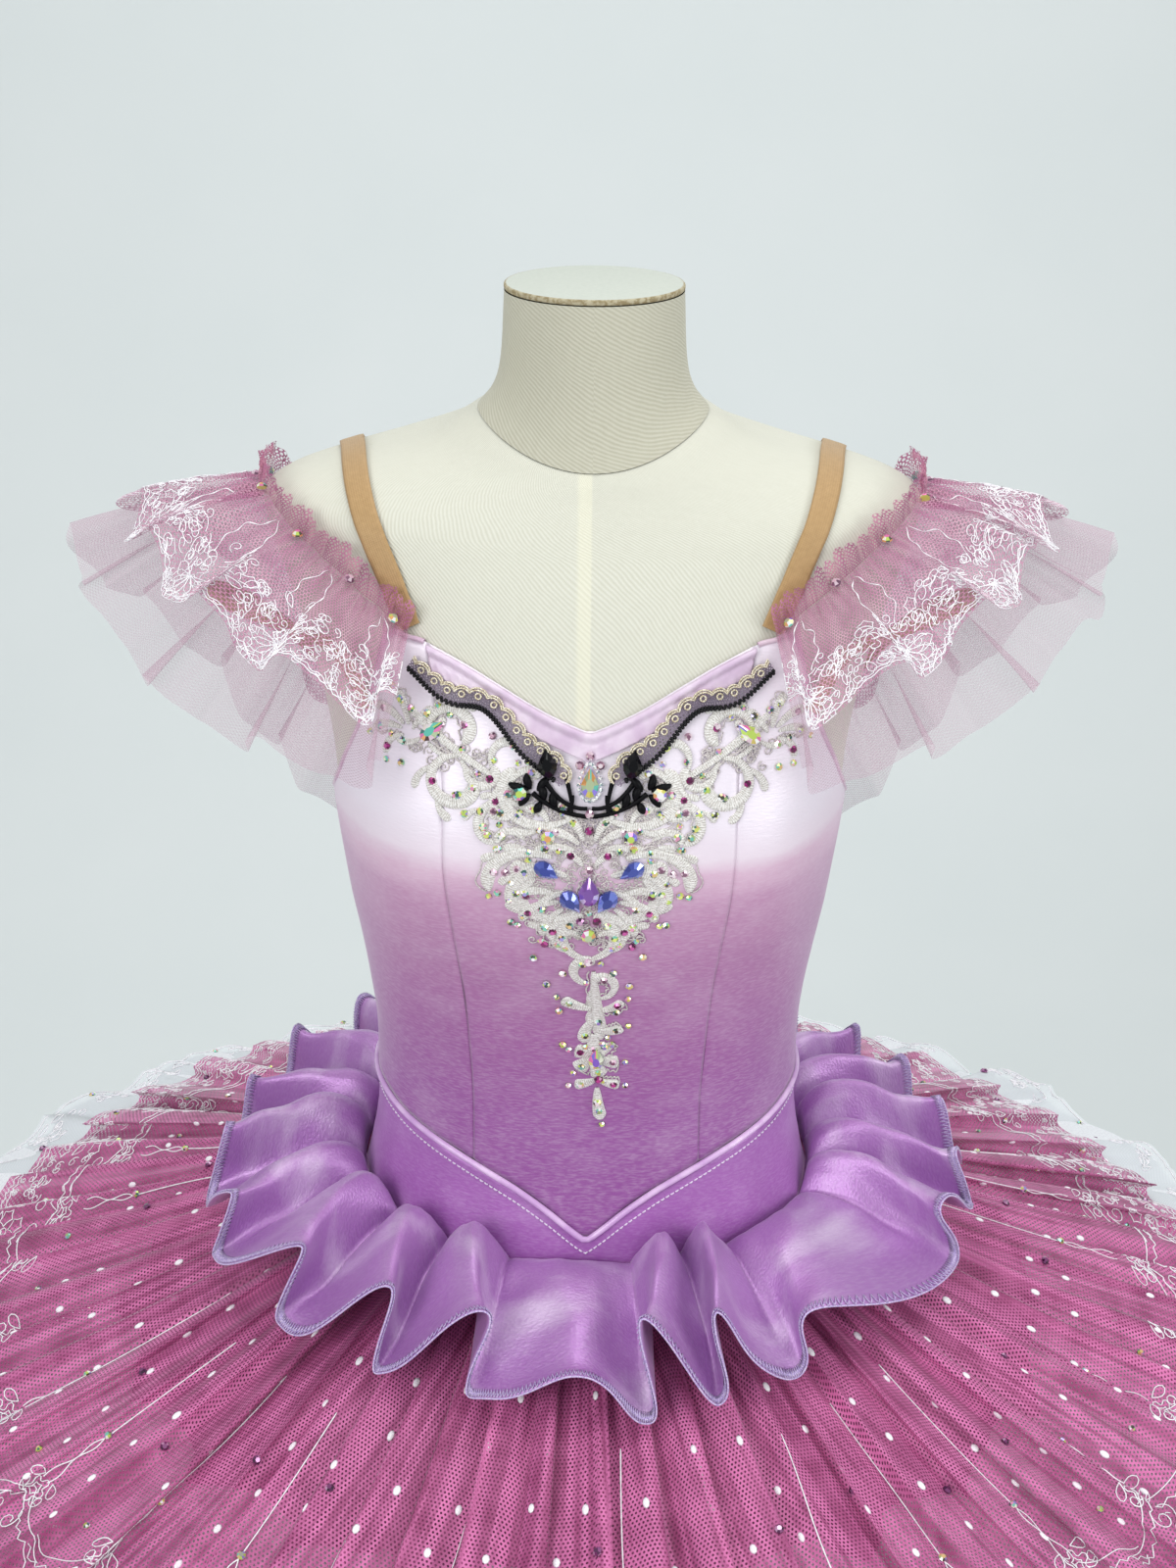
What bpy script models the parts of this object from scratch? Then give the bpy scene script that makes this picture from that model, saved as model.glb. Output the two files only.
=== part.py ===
"""Ballet tutu on a limbless dress form, in metres.

+Z is up, the front faces -Y and the wearer's left is +X. The origin is the middle of the stand's
flat underside. A turn is the angle round the figure: 0 at the centre front, +pi/2 at the wearer's
left side seam and pi at the centre back.
"""

import math
from collections import namedtuple

import bpy
from mathutils import Vector
from mathutils.bvhtree import BVHTree

# ---------------------------------------------------------------- driving dimensions
SEAM_GAP = 0.0004  # between two pieces that meet at a seam
FORM_CLEARANCE = 0.0015  # from the dress form to the cloth
BODICE_WALL = 0.0015
NET_WALL = 0.0010
SATIN_WALL = 0.0012
PIPING_RADIUS = 0.0021
NECK_TOP_Z = 1.4565
CAP_HEIGHT = 0.0032
CAP_RADIUS = 0.0497
POLE_RADIUS = 0.0125
FORM_BOTTOM_Z = 0.700
STAND_RADIUS = 0.180
STAND_TOP_Z = 0.045
RIM_RADIUS = 0.560  # of the widest skirt layer
TOP_PLEATS = 56
PLATE_PLEATS = 32
LOWER_PLEATS = 12
RUFFLE_WAVES = 22
SLEEVE_WAVES = 8
STRAP_WIDTH = 0.0155
ELASTIC_WIDTH = 0.0080
RIBBON_WALL = 0.0012
SHELL_OUT = FORM_CLEARANCE + BODICE_WALL  # from the form to the bodice's outer face
RING_POWER = 2.25  # of the rounded-square outline of each ring

PALE_LILAC = (0.80, 0.70, 0.82)
MAUVE = (0.36, 0.17, 0.47)
RASPBERRY = (0.45, 0.11, 0.27)
TULLE_PINK = (0.62, 0.38, 0.52)
WHITE_LACE = (0.84, 0.86, 0.88)
IVORY = (0.80, 0.77, 0.68)
LINEN = (0.80, 0.77, 0.65)
TAN = (0.47, 0.28, 0.10)
BLACK = (0.02, 0.02, 0.02)

# ---------------------------------------------------------------- the figure
Ring = namedtuple("Ring", "z half_width front back")
FIGURE = [
    Ring(0.700, 0.166, 0.111, 0.121),
    Ring(0.760, 0.164, 0.113, 0.120),
    Ring(0.820, 0.158, 0.114, 0.116),
    Ring(0.860, 0.149, 0.113, 0.109),
    Ring(0.895, 0.139, 0.110, 0.099),
    Ring(0.923, 0.132, 0.105, 0.092),
    Ring(0.950, 0.1275, 0.099, 0.086),
    Ring(0.983, 0.1265, 0.095, 0.082),
    Ring(1.013, 0.127, 0.097, 0.083),
    Ring(1.047, 0.1305, 0.103, 0.086),
    Ring(1.078, 0.135, 0.110, 0.090),
    Ring(1.106, 0.140, 0.1165, 0.094),
    Ring(1.140, 0.145, 0.1205, 0.098),
    Ring(1.165, 0.1475, 0.1215, 0.101),
    Ring(1.200, 0.150, 0.119, 0.103),
    Ring(1.235, 0.156, 0.112, 0.104),
    Ring(1.270, 0.165, 0.102, 0.103),
    Ring(1.300, 0.175, 0.092, 0.100),
    Ring(1.325, 0.183, 0.082, 0.095),
]
BUST_TURN, BUST_Z = 0.66, 1.165
CUP_RISE, FORM_BUST_RISE = 0.009, 0.006  # of the bodice's cups and of the form under them
BUST_SPREAD_TURN, BUST_SPREAD_Z = 0.33, 0.050

# Above the level rings each one dips towards the front, up to the neck seam and the neck.
Slope = namedtuple("Slope", "z_front z_side z_back half_width front back power")
SHOULDERS = [
    Slope(1.333, 1.343, 1.340, 0.1850, 0.0785, 0.0920, 2.15),
    Slope(1.341, 1.353, 1.353, 0.1740, 0.0750, 0.0880, 2.05),
    Slope(1.348, 1.3605, 1.365, 0.1520, 0.0715, 0.0830, 2.0),
    Slope(1.355, 1.3665, 1.376, 0.1260, 0.0680, 0.0760, 2.0),
    Slope(1.362, 1.375, 1.389, 0.0920, 0.0645, 0.0680, 2.0),
    Slope(1.369, 1.3915, 1.402, 0.0646, 0.0600, 0.0580, 2.0),
    Slope(1.385, 1.403, 1.412, 0.0560, 0.0555, 0.0540, 2.0),
    Slope(1.410, 1.420, 1.425, 0.0515, 0.0515, 0.0505, 2.0),
    Slope(NECK_TOP_Z, NECK_TOP_Z, NECK_TOP_Z, 0.0495, 0.0495, 0.0495, 2.0),
]
FORM_LEVELS = (
    0.700, 0.760, 0.815, 0.860, 0.900, 0.935, 0.970, 1.005, 1.040, 1.075, 1.110,
    1.140, 1.170, 1.205, 1.240, 1.270, 1.300, 1.325,
)

# Turns of the cloth's grid lines on one side; the seams are at the named ones.
PRINCESS_FRONT, SIDE_SEAM, PRINCESS_BACK = 0.50, 1.62, 2.45
GRID_TURNS = (
    0.0, 0.13, 0.26, 0.38, PRINCESS_FRONT, 0.57, 0.66, 0.78, 0.92, 1.08, 1.26, 1.44,
    SIDE_SEAM, 1.80, 1.98, 2.15, 2.30, PRINCESS_BACK, 2.62, 2.79, 2.96, math.pi,
)

Edge = namedtuple("Edge", "turn z")
BODICE_TOP = [
    Edge(0.00, 1.2404), Edge(0.13, 1.2515), Edge(0.26, 1.2640), Edge(0.38, 1.2745),
    Edge(0.50, 1.2825), Edge(0.57, 1.2845), Edge(0.66, 1.2845), Edge(0.78, 1.2550),
    Edge(0.92, 1.2280), Edge(1.08, 1.2060), Edge(1.26, 1.1840), Edge(1.44, 1.1700),
    Edge(1.62, 1.1660), Edge(1.80, 1.1690), Edge(1.98, 1.1830), Edge(2.15, 1.2060),
    Edge(2.30, 1.2130), Edge(2.45, 1.2140), Edge(2.79, 1.2070), Edge(math.pi, 1.2030),
]
WAIST_LINE = [
    Edge(0.00, 0.9150), Edge(0.13, 0.9310), Edge(0.26, 0.9425), Edge(0.38, 0.9500),
    Edge(0.50, 0.9560), Edge(0.66, 0.9625), Edge(0.92, 0.9705), Edge(1.26, 0.9785),
    Edge(1.62, 0.9805), Edge(2.15, 0.9740), Edge(2.62, 0.9620), Edge(math.pi, 0.9450),
]
LEG_LINE = [
    Edge(0.00, 0.7015), Edge(0.26, 0.7015), Edge(0.50, 0.7480), Edge(0.78, 0.7850),
    Edge(1.26, 0.8150), Edge(1.62, 0.8220), Edge(2.15, 0.7850), Edge(2.62, 0.7350),
    Edge(2.79, 0.7015), Edge(math.pi, 0.7015),
]
BASQUE_HEM_Z, BASQUE_TILT = 0.907, 0.009

# ---------------------------------------------------------------- skirt, ruffle and sleeves
# The common slope of the skirt: reach runs from 0 at the figure to 1 at the widest rim.
Fall = namedtuple("Fall", "reach z")
SKIRT_FALL = [
    Fall(0.0, 0.890), Fall(0.15, 0.861), Fall(0.25, 0.841), Fall(0.38, 0.817),
    Fall(0.52, 0.794), Fall(0.67, 0.769), Fall(0.81, 0.744), Fall(1.0, 0.712),
]
BEND = 0.335  # the reach where every layer bends, and where the white lace band starts
LACE_BAND_LIFT = 0.0021
Layer = namedtuple("Layer", "name row stations pleats samples lift colour")
SKIRT_LAYERS = [
    Layer("skirt_top_lace", 0, (0.0, BEND, 0.81), TOP_PLEATS, 3, 0.0, RASPBERRY),
    Layer("skirt_white_lace", 1, (BEND, 1.0), PLATE_PLEATS, 3, LACE_BAND_LIFT, WHITE_LACE),
    Layer("skirt_plate_net", 1, (0.0, BEND, 0.97), PLATE_PLEATS, 3, 0.0, WHITE_LACE),
    Layer("skirt_under_net_a", 2, (0.0, BEND, 0.85), LOWER_PLEATS, 4, 0.0, WHITE_LACE),
    Layer("skirt_under_net_b", 3, (0.0, BEND, 0.68), LOWER_PLEATS, 4, 0.0, WHITE_LACE),
]
ROW_PITCH, RIM_PITCH = 0.0090, 0.0160  # between skirt rows, at the figure and at the rim
PLEAT_DEEP_IN, PLEAT_DEEP_OUT = 0.0021, 0.0044
SKIRT_TILT = 0.010

RUFFLE_WIDTH_FRONT, RUFFLE_WIDTH_SIDE, RUFFLE_WIDTH_BACK = 0.084, 0.096, 0.094
RUFFLE_DROP_FRONT, RUFFLE_DROP_BACK = 0.024, 0.014
RUFFLE_DEPTH = 0.0125

Station = namedtuple("Station", "line lace tulle")
SLEEVE = [
    Station((0.103, -0.098, 1.288), (0.102, -0.140, 1.250), (0.104, -0.132, 1.220)),
    Station((0.130, -0.082, 1.306), (0.151, -0.129, 1.263), (0.157, -0.118, 1.222)),
    Station((0.160, -0.060, 1.326), (0.212, -0.094, 1.290), (0.226, -0.087, 1.243)),
    Station((0.186, -0.030, 1.345), (0.250, -0.052, 1.320), (0.276, -0.046, 1.285)),
    Station((0.195, 0.000, 1.351), (0.268, -0.004, 1.335), (0.298, 0.005, 1.307)),
    Station((0.190, 0.030, 1.338), (0.262, 0.042, 1.315), (0.286, 0.052, 1.270)),
    Station((0.178, 0.052, 1.304), (0.236, 0.084, 1.268), (0.243, 0.094, 1.213)),
    Station((0.158, 0.064, 1.258), (0.200, 0.104, 1.206), (0.206, 0.106, 1.148)),
    Station((0.130, 0.070, 1.207), (0.156, 0.112, 1.150), (0.166, 0.112, 1.100)),
]
HEADING = 0.016
LINE_OFF = 0.0041  # from the form to the sleeves' gathering lines
LINE_PITCH, FRILL_PITCH = 0.0017, 0.0034  # from tulle to lace, at that line and beyond it
STRAP = [
    (0.1020, -0.096, 1.2910), (0.1080, -0.089, 1.305), (0.1180, -0.075, 1.330),
    (0.1280, -0.045, 1.354), (0.1340, 0.000, 1.3665), (0.1300, 0.045, 1.352),
    (0.1190, 0.078, 1.318), (0.1080, 0.090, 1.270), (0.1010, 0.094, 1.2175),
]
ARM_ELASTIC = [
    (0.140, -0.074, 1.272), (0.168, -0.060, 1.280), (0.198, -0.038, 1.283),
    (0.219, -0.012, 1.283), (0.217, 0.012, 1.279), (0.203, 0.032, 1.266),
    (0.180, 0.044, 1.243), (0.157, 0.051, 1.214),
]
ELASTIC_FRONT, ELASTIC_BACK = Edge(0.80, 1.243), Edge(2.05, 1.182)

# ---------------------------------------------------------------- trimmings
TRIM_GAP, APPLIQUE_WALL, SWAG_WALL = 0.0013, 0.0014, 0.0010
BAND_GAP = 0.0007  # under the satin band, and under the black lace on it
Lobe = namedtuple("Lobe", "z half_width")
APPLIQUE_STEM = [
    Lobe(1.193, 0.030), Lobe(1.182, 0.054), Lobe(1.171, 0.057), Lobe(1.160, 0.043),
    Lobe(1.149, 0.041), Lobe(1.138, 0.038), Lobe(1.126, 0.029), Lobe(1.114, 0.033),
    Lobe(1.103, 0.021), Lobe(1.092, 0.011), Lobe(1.080, 0.015), Lobe(1.066, 0.018),
    Lobe(1.051, 0.009), Lobe(1.038, 0.012), Lobe(1.024, 0.013), Lobe(1.010, 0.006),
    Lobe(0.995, 0.003),
]
Wing = namedtuple("Wing", "x low high")
APPLIQUE_WING = [
    Wing(0.026, 1.2010, 1.2060), Wing(0.036, 1.2015, 1.2150), Wing(0.046, 1.1990, 1.2230),
    Wing(0.056, 1.2010, 1.2300), Wing(0.066, 1.2010, 1.2380), Wing(0.077, 1.2030, 1.2420),
    Wing(0.088, 1.2110, 1.2440), Wing(0.098, 1.2180, 1.2420), Wing(0.107, 1.2240, 1.2360),
]
Swag = namedtuple("Swag", "x z width")
BLACK_SWAG = [
    Swag(0.0075, 1.2070, 0.012), Swag(0.016, 1.2220, 0.021), Swag(0.026, 1.2330, 0.017),
    Swag(0.040, 1.2415, 0.014), Swag(0.054, 1.2500, 0.013), Swag(0.069, 1.2590, 0.014),
    Swag(0.083, 1.2660, 0.013), Swag(0.096, 1.2685, 0.010),
]
JEWEL_Z, JEWEL_LONG, JEWEL_WIDE, JEWEL_DEEP = 1.2137, 0.0178, 0.0096, 0.0050
BAND_DEPTH, BAND_WALL = 0.0150, 0.0010


# ---------------------------------------------------------------- maths
def eased(table, at, column):
    """The smooth value of one column of a table whose first column rises."""
    keys = [row[0] for row in table]
    values = [getattr(row, column) for row in table]
    at = min(max(at, keys[0]), keys[-1])
    i = max(n for n in range(len(keys) - 1) if keys[n] <= at)

    def slope(n):
        low, high = max(n - 1, 0), min(n + 1, len(keys) - 1)
        return (values[high] - values[low]) / (keys[high] - keys[low])

    span = keys[i + 1] - keys[i]
    u = (at - keys[i]) / span
    rise = (3 - 2 * u) * u * u
    return (
        values[i] * (1 - rise) + values[i + 1] * rise
        + span * u * (1 - u) * ((1 - u) * slope(i) - u * slope(i + 1))
    )


def level(table, at, column="z"):
    """The value of one column by straight runs between the table's rows."""
    at = min(max(at, table[0][0]), table[-1][0])
    i = max(n for n in range(len(table) - 1) if table[n][0] <= at)
    u = (at - table[i][0]) / (table[i + 1][0] - table[i][0])
    return getattr(table[i], column) * (1 - u) + getattr(table[i + 1], column) * u


def signed_power(value, power):
    return math.copysign(abs(value) ** power, value)


def ring_point(half_width, front, back, power, turn, out):
    """A point of a rounded ring, moved outwards, and the outward direction there."""
    s, c = math.sin(turn), math.cos(turn)
    depth = front if c > 0 else back
    x = half_width * signed_power(s, 2 / power)
    y = -depth * signed_power(c, 2 / power)
    normal = Vector((
        signed_power(s, 2 - 2 / power) / half_width,
        -signed_power(c, 2 - 2 / power) / depth,
        0.0,
    )).normalized()
    return Vector((x, y, 0.0)) + normal * out, normal


def figure(z, turn, out=0.0, bust=CUP_RISE):
    """A point of the figure at a height and turn, moved outwards by out."""
    turn = math.atan2(math.sin(turn), math.cos(turn))
    spread = math.exp(-(((z - BUST_Z) / BUST_SPREAD_Z) ** 2))
    rise = sum(
        math.exp(-(((turn - side * BUST_TURN) / BUST_SPREAD_TURN) ** 2)) for side in (-1, 1)
    )
    point, _ = ring_point(
        eased(FIGURE, z, "half_width"), eased(FIGURE, z, "front"), eased(FIGURE, z, "back"),
        RING_POWER, turn, out + bust * spread * rise,
    )
    point.z = z
    return point


def outward(z, turn):
    """The level direction away from the figure."""
    return ring_point(
        eased(FIGURE, z, "half_width"), eased(FIGURE, z, "front"), eased(FIGURE, z, "back"),
        RING_POWER, turn, 0.0,
    )[1]


def figure_at(x, z, out):
    """The point of the figure's front that lies x to the side of the centre."""
    share = min(abs(x) / eased(FIGURE, z, "half_width"), 1.0)
    return figure(z, math.copysign(math.asin(share ** (RING_POWER / 2)), x), out)


def smooth_path(points, steps):
    """A curve through the points, with steps stretches between each two of them."""
    points = [Vector(p) for p in points]
    padded = [2 * points[0] - points[1], *points, 2 * points[-1] - points[-2]]
    path = []
    for i in range(len(points) - 1):
        a, b, c, d = padded[i : i + 4]
        for n in range(steps):
            u = n / steps
            path.append(
                0.5 * (2 * b + (c - a) * u + (2 * a - 5 * b + 4 * c - d) * u * u
                       + (3 * b - a - 3 * c + d) * u ** 3)
            )
    return [*path, points[-1]]


def mixed(a, b, share):
    return a + (b - a) * share


# ---------------------------------------------------------------- making objects
def clear_scene():
    for obj in list(bpy.data.objects):
        bpy.data.objects.remove(obj, do_unlink=True)


def finish_of(name, colour, roughness, metallic=0.0):
    """A plain material of one colour."""
    material = bpy.data.materials.new(name)
    material.use_nodes = True
    shader = material.node_tree.nodes["Principled BSDF"]
    shader.inputs["Base Color"].default_value = (*colour, 1.0)
    shader.inputs["Roughness"].default_value = roughness
    shader.inputs["Metallic"].default_value = metallic
    return material


def add_object(collection, name, data, colour, roughness=0.7):
    """An object with a material of its own."""
    obj = bpy.data.objects.new(name, data)
    data.materials.append(finish_of(f"{name}_finish", colour, roughness))
    collection.objects.link(obj)
    return obj


def add_sheet(collection, name, rows, wall, colour, closed=False, side=0.0, roughness=0.7):
    """Cloth with a wall: an open net of points in rows, given its thickness by Solidify.

    With side 1 the wall grows outwards from the points, and with 0 it lies half to each side.
    A closed sheet joins the last point of each row to its first.
    """
    count = len(rows[0])
    points = [p for row in rows for p in row]
    faces = []
    for r in range(len(rows) - 1):
        for c in range(count if closed else count - 1):
            a, b = r * count + c, r * count + (c + 1) % count
            d, e = a + count, b + count
            faces += [(a, b, e), (a, e, d)]
    mesh = bpy.data.meshes.new(name)
    mesh.from_pydata(points, [], faces)
    obj = add_object(collection, name, mesh, colour, roughness)
    solidify = obj.modifiers.new("wall", "SOLIDIFY")
    solidify.thickness = wall
    solidify.offset = side
    return obj


def add_loft(collection, name, rings, colour, roughness=0.7):
    """A closed solid through rings of equal count, with flat ends."""
    count = len(rings[0])
    points = [p for ring in rings for p in ring]
    faces = [tuple(reversed(range(count)))]
    for r in range(len(rings) - 1):
        for c in range(count):
            a, b = r * count + c, r * count + (c + 1) % count
            d, e = a + count, b + count
            faces += [(a, b, e), (a, e, d)]
    last = (len(rings) - 1) * count
    faces.append(tuple(range(last, last + count)))
    mesh = bpy.data.meshes.new(name)
    mesh.from_pydata(points, [], faces)
    return add_object(collection, name, mesh, colour, roughness)


def add_ribbon(collection, name, centres, normals, width, wall, colour):
    """A flat band along a path, its broad side facing along the normals."""
    rings = []
    for i, centre in enumerate(centres):
        ahead = centres[min(i + 1, len(centres) - 1)] - centres[max(i - 1, 0)]
        across = ahead.cross(normals[i]).normalized() * width / 2
        through = across.cross(ahead).normalized() * wall / 2
        rings.append([
            centre - across - through, centre - across + through,
            centre + across + through, centre + across - through,
        ])
    return add_loft(collection, name, rings, colour)


def both_ways(turns):
    """Turns of one side joined to their mirror image, from -pi to pi."""
    return [-t for t in reversed(turns) if t > 0] + list(turns)


# ---------------------------------------------------------------- the dress form
def form_rings():
    """Rings of the padded torso, from its flat bottom to the top of its neck."""
    turns = both_ways(GRID_TURNS)[1:]
    rings = [[figure(z, turn, 0.0, FORM_BUST_RISE) for turn in turns] for z in FORM_LEVELS]
    for slope in SHOULDERS:
        ring = []
        for turn in turns:
            c = math.cos(turn)
            point, _ = ring_point(
                slope.half_width, slope.front, slope.back, slope.power, turn, 0.0
            )
            end = slope.z_front if c > 0 else slope.z_back
            point.z = mixed(slope.z_side, end, c * c)
            ring.append(point)
        rings.append(ring)
    return rings


def build_form(collection):
    """Torso, neck cap, pole and round foot; gives the torso's surface for seating."""
    torso = add_loft(collection, "form_torso", form_rings(), LINEN, 0.85)
    torso.data.shade_smooth()
    surface = BVHTree.FromPolygons(
        [v.co.copy() for v in torso.data.vertices], [tuple(f.vertices) for f in torso.data.polygons]
    )

    bpy.ops.mesh.primitive_cylinder_add(
        vertices=28, radius=CAP_RADIUS, depth=CAP_HEIGHT,
        location=(0, 0, NECK_TOP_Z + SEAM_GAP + CAP_HEIGHT / 2),
    )
    take_primitive(collection, "form_neck_cap", LINEN, 0.0008)

    top, bottom = FORM_BOTTOM_Z - SEAM_GAP, STAND_TOP_Z + SEAM_GAP
    bpy.ops.mesh.primitive_cylinder_add(
        vertices=20, radius=POLE_RADIUS, depth=top - bottom, location=(0, 0, (top + bottom) / 2)
    )
    take_primitive(collection, "form_pole", (0.75, 0.75, 0.75), 0.0)
    build_foot(collection)
    return surface


def take_primitive(collection, name, colour, bevel):
    """The primitive just added, named, coloured and moved to the part's collection."""
    obj = bpy.context.object
    for holder in list(obj.users_collection):
        holder.objects.unlink(obj)
    collection.objects.link(obj)
    obj.name = name
    obj.data.materials.append(finish_of(f"{name}_finish", colour, 0.6))
    if bevel:
        rounding = obj.modifiers.new("rounding", "BEVEL")
        rounding.width = bevel
        rounding.segments = 1
        rounding.limit_method = "ANGLE"


def build_foot(collection):
    """The stand's round foot, turned from its profile."""
    profile = [
        (0.0, STAND_TOP_Z), (POLE_RADIUS + 0.0065, STAND_TOP_Z), (POLE_RADIUS + 0.0085, 0.030),
        (0.045, 0.0185), (STAND_RADIUS - 0.012, 0.0120), (STAND_RADIUS, 0.0060),
        (STAND_RADIUS, 0.0), (0.0, 0.0),
    ]
    mesh = bpy.data.meshes.new("form_foot")
    mesh.from_pydata(
        [(r, 0, z) for r, z in profile], [(i, i + 1) for i in range(len(profile) - 1)], []
    )
    foot = add_object(collection, "form_foot", mesh, (0.75, 0.75, 0.75), 0.5)
    turning = foot.modifiers.new("turning", "SCREW")
    turning.steps = turning.render_steps = 32
    turning.use_merge_vertices = True
    turning.merge_threshold = 0.0001


# ---------------------------------------------------------------- bodice, basque and brief
def panel_rows(turns, low, high, count, out):
    """Rows of points on the figure between two edges, from the low one up."""
    rows = []
    for r in range(count + 1):
        rows.append([
            figure(mixed(low(t), high(t), r / count), t, out) for t in turns
        ])
    return rows


def seam_turns(start, end, z):
    """The grid's turns between two seams, drawn in by half a seam's gap at each."""
    inset = SEAM_GAP / 2 / eased(FIGURE, z, "front")
    turns = [t for t in both_ways(GRID_TURNS) if start - 1e-6 <= t <= end + 1e-6]
    return [turns[0] + inset, *turns[1:-1], turns[-1] - inset]


def waist(turn):
    return level(WAIST_LINE, abs(turn))


def basque_hem(turn):
    return BASQUE_HEM_Z - BASQUE_TILT * math.cos(turn)


def build_bodice(collection):
    """Seven panels between the neckline and the pointed waist line."""
    edge_gap = PIPING_RADIUS + 2 * SEAM_GAP
    panels = [
        ("bodice_centre_front", -PRINCESS_FRONT, PRINCESS_FRONT),
        ("bodice_side_front_left", PRINCESS_FRONT, SIDE_SEAM),
        ("bodice_side_front_right", -SIDE_SEAM, -PRINCESS_FRONT),
        ("bodice_side_back_left", SIDE_SEAM, PRINCESS_BACK),
        ("bodice_side_back_right", -PRINCESS_BACK, -SIDE_SEAM),
        ("bodice_back_left", PRINCESS_BACK, math.pi),
        ("bodice_back_right", -math.pi, -PRINCESS_BACK),
    ]
    for name, start, end in panels:
        rows = panel_rows(
            seam_turns(start, end, 1.05), lambda t: waist(t) + edge_gap,
            lambda t: level(BODICE_TOP, abs(t)), 8, FORM_CLEARANCE,
        )
        add_sheet(collection, name, rows, BODICE_WALL, PALE_LILAC, side=1.0, roughness=0.45)


def build_basque(collection):
    """The shaped band between the waist piping and the ruffle, and the brief below it."""
    edge_gap = PIPING_RADIUS + 2 * SEAM_GAP
    back = math.pi
    for name, start, end in (
        ("basque_front", -SIDE_SEAM, SIDE_SEAM),
        ("basque_back_left", SIDE_SEAM, back),
        ("basque_back_right", -back, -SIDE_SEAM),
    ):
        rows = panel_rows(
            seam_turns(start, end, 0.95), basque_hem, lambda t: waist(t) - edge_gap, 2,
            FORM_CLEARANCE,
        )
        add_sheet(collection, name, rows, BODICE_WALL, MAUVE, side=1.0, roughness=0.4)
    for name, start, end in (
        ("brief_front", -SIDE_SEAM, SIDE_SEAM),
        ("brief_back_left", SIDE_SEAM, back),
        ("brief_back_right", -back, -SIDE_SEAM),
    ):
        rows = panel_rows(
            seam_turns(start, end, 0.90), lambda t: level(LEG_LINE, abs(t)),
            lambda t: basque_hem(t) - SEAM_GAP, 4, FORM_CLEARANCE,
        )
        add_sheet(collection, name, rows, BODICE_WALL, MAUVE, side=1.0, roughness=0.6)


def build_piping(collection):
    """A satin cord round the pointed waist line, open at the centre back."""
    half = list(GRID_TURNS[:-1]) + [math.pi - 0.004]
    curve = bpy.data.curves.new("waist_piping", "CURVE")
    curve.dimensions = "3D"
    curve.bevel_depth = PIPING_RADIUS
    curve.bevel_resolution = 1
    curve.use_fill_caps = True
    turns = both_ways(half)
    spline = curve.splines.new("POLY")
    spline.points.add(len(turns) - 1)
    out = FORM_CLEARANCE + PIPING_RADIUS + SEAM_GAP
    for point, turn in zip(spline.points, turns):
        point.co = (*figure(waist(turn), turn, out), 1.0)
    add_object(collection, "waist_piping", curve, PALE_LILAC, 0.4)


# ---------------------------------------------------------------- front trimmings
def build_neck_band(collection):
    """The satin band folded along the heart-shaped neckline."""
    turns = [t for t in both_ways(GRID_TURNS) if abs(t) <= PRINCESS_FRONT]
    rows = panel_rows(
        turns, lambda t: level(BODICE_TOP, abs(t)) - BAND_DEPTH,
        lambda t: level(BODICE_TOP, abs(t)), 1, SHELL_OUT + BAND_GAP,
    )
    add_sheet(collection, "neckline_band", rows, BAND_WALL, PALE_LILAC, side=1.0, roughness=0.35)


def build_applique(collection):
    """Corded lace on the front: a lobed stem and two wings."""
    out = SHELL_OUT + TRIM_GAP
    shares = (-1.0, -0.5, 0.0, 0.5, 1.0)
    stem = [
        [figure_at(lobe.half_width * share, lobe.z, out) for share in shares]
        for lobe in reversed(APPLIQUE_STEM)
    ]
    add_sheet(collection, "applique_stem", stem, APPLIQUE_WALL, IVORY, side=1.0)
    for name, side in (("left", 1), ("right", -1)):
        columns = APPLIQUE_WING if side > 0 else APPLIQUE_WING[::-1]
        wing = [
            [figure_at(side * c.x, mixed(c.low, c.high, share), out) for c in columns]
            for share in (0.0, 0.5, 1.0)
        ]
        add_sheet(collection, f"applique_wing_{name}", wing, APPLIQUE_WALL, IVORY, side=1.0)


def build_swags(collection):
    """Black lace under each half of the neckline, and the stone between them."""
    out = SHELL_OUT + 2 * BAND_GAP + BAND_WALL
    for name, side in (("left", 1), ("right", -1)):
        columns = BLACK_SWAG if side > 0 else BLACK_SWAG[::-1]
        rows = [
            [figure_at(side * c.x, c.z + share * c.width, out) for c in columns]
            for share in (-0.5, 0.5)
        ]
        add_sheet(collection, f"black_lace_{name}", rows, SWAG_WALL, BLACK, side=1.0)

    seat = figure(JEWEL_Z, 0.0, SHELL_OUT + SEAM_GAP)
    sides = 12
    rings = []
    for depth, share in ((0.0, 1.0), (0.4, 1.0), (0.8, 0.72), (1.0, 0.40)):
        ring = []
        for n in range(sides):
            angle = -2 * math.pi * n / sides
            along = math.cos(angle)
            taper = 1.0 - 0.45 * max(along, 0.0)
            x = math.sin(angle) * JEWEL_WIDE / 2 * share * taper
            z = along * JEWEL_LONG / 2 * share
            ring.append(seat + Vector((x, -0.0012 - depth * JEWEL_DEEP, z)))
        rings.append(ring)
    add_loft(collection, "centre_jewel", rings, PALE_LILAC, 0.1)


# ---------------------------------------------------------------- skirt and ruffle
def skirt_tilt(turn, reach):
    """The skirt sits a little lower in front than behind."""
    return -SKIRT_TILT * math.cos(turn) * (1 + reach)


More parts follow.
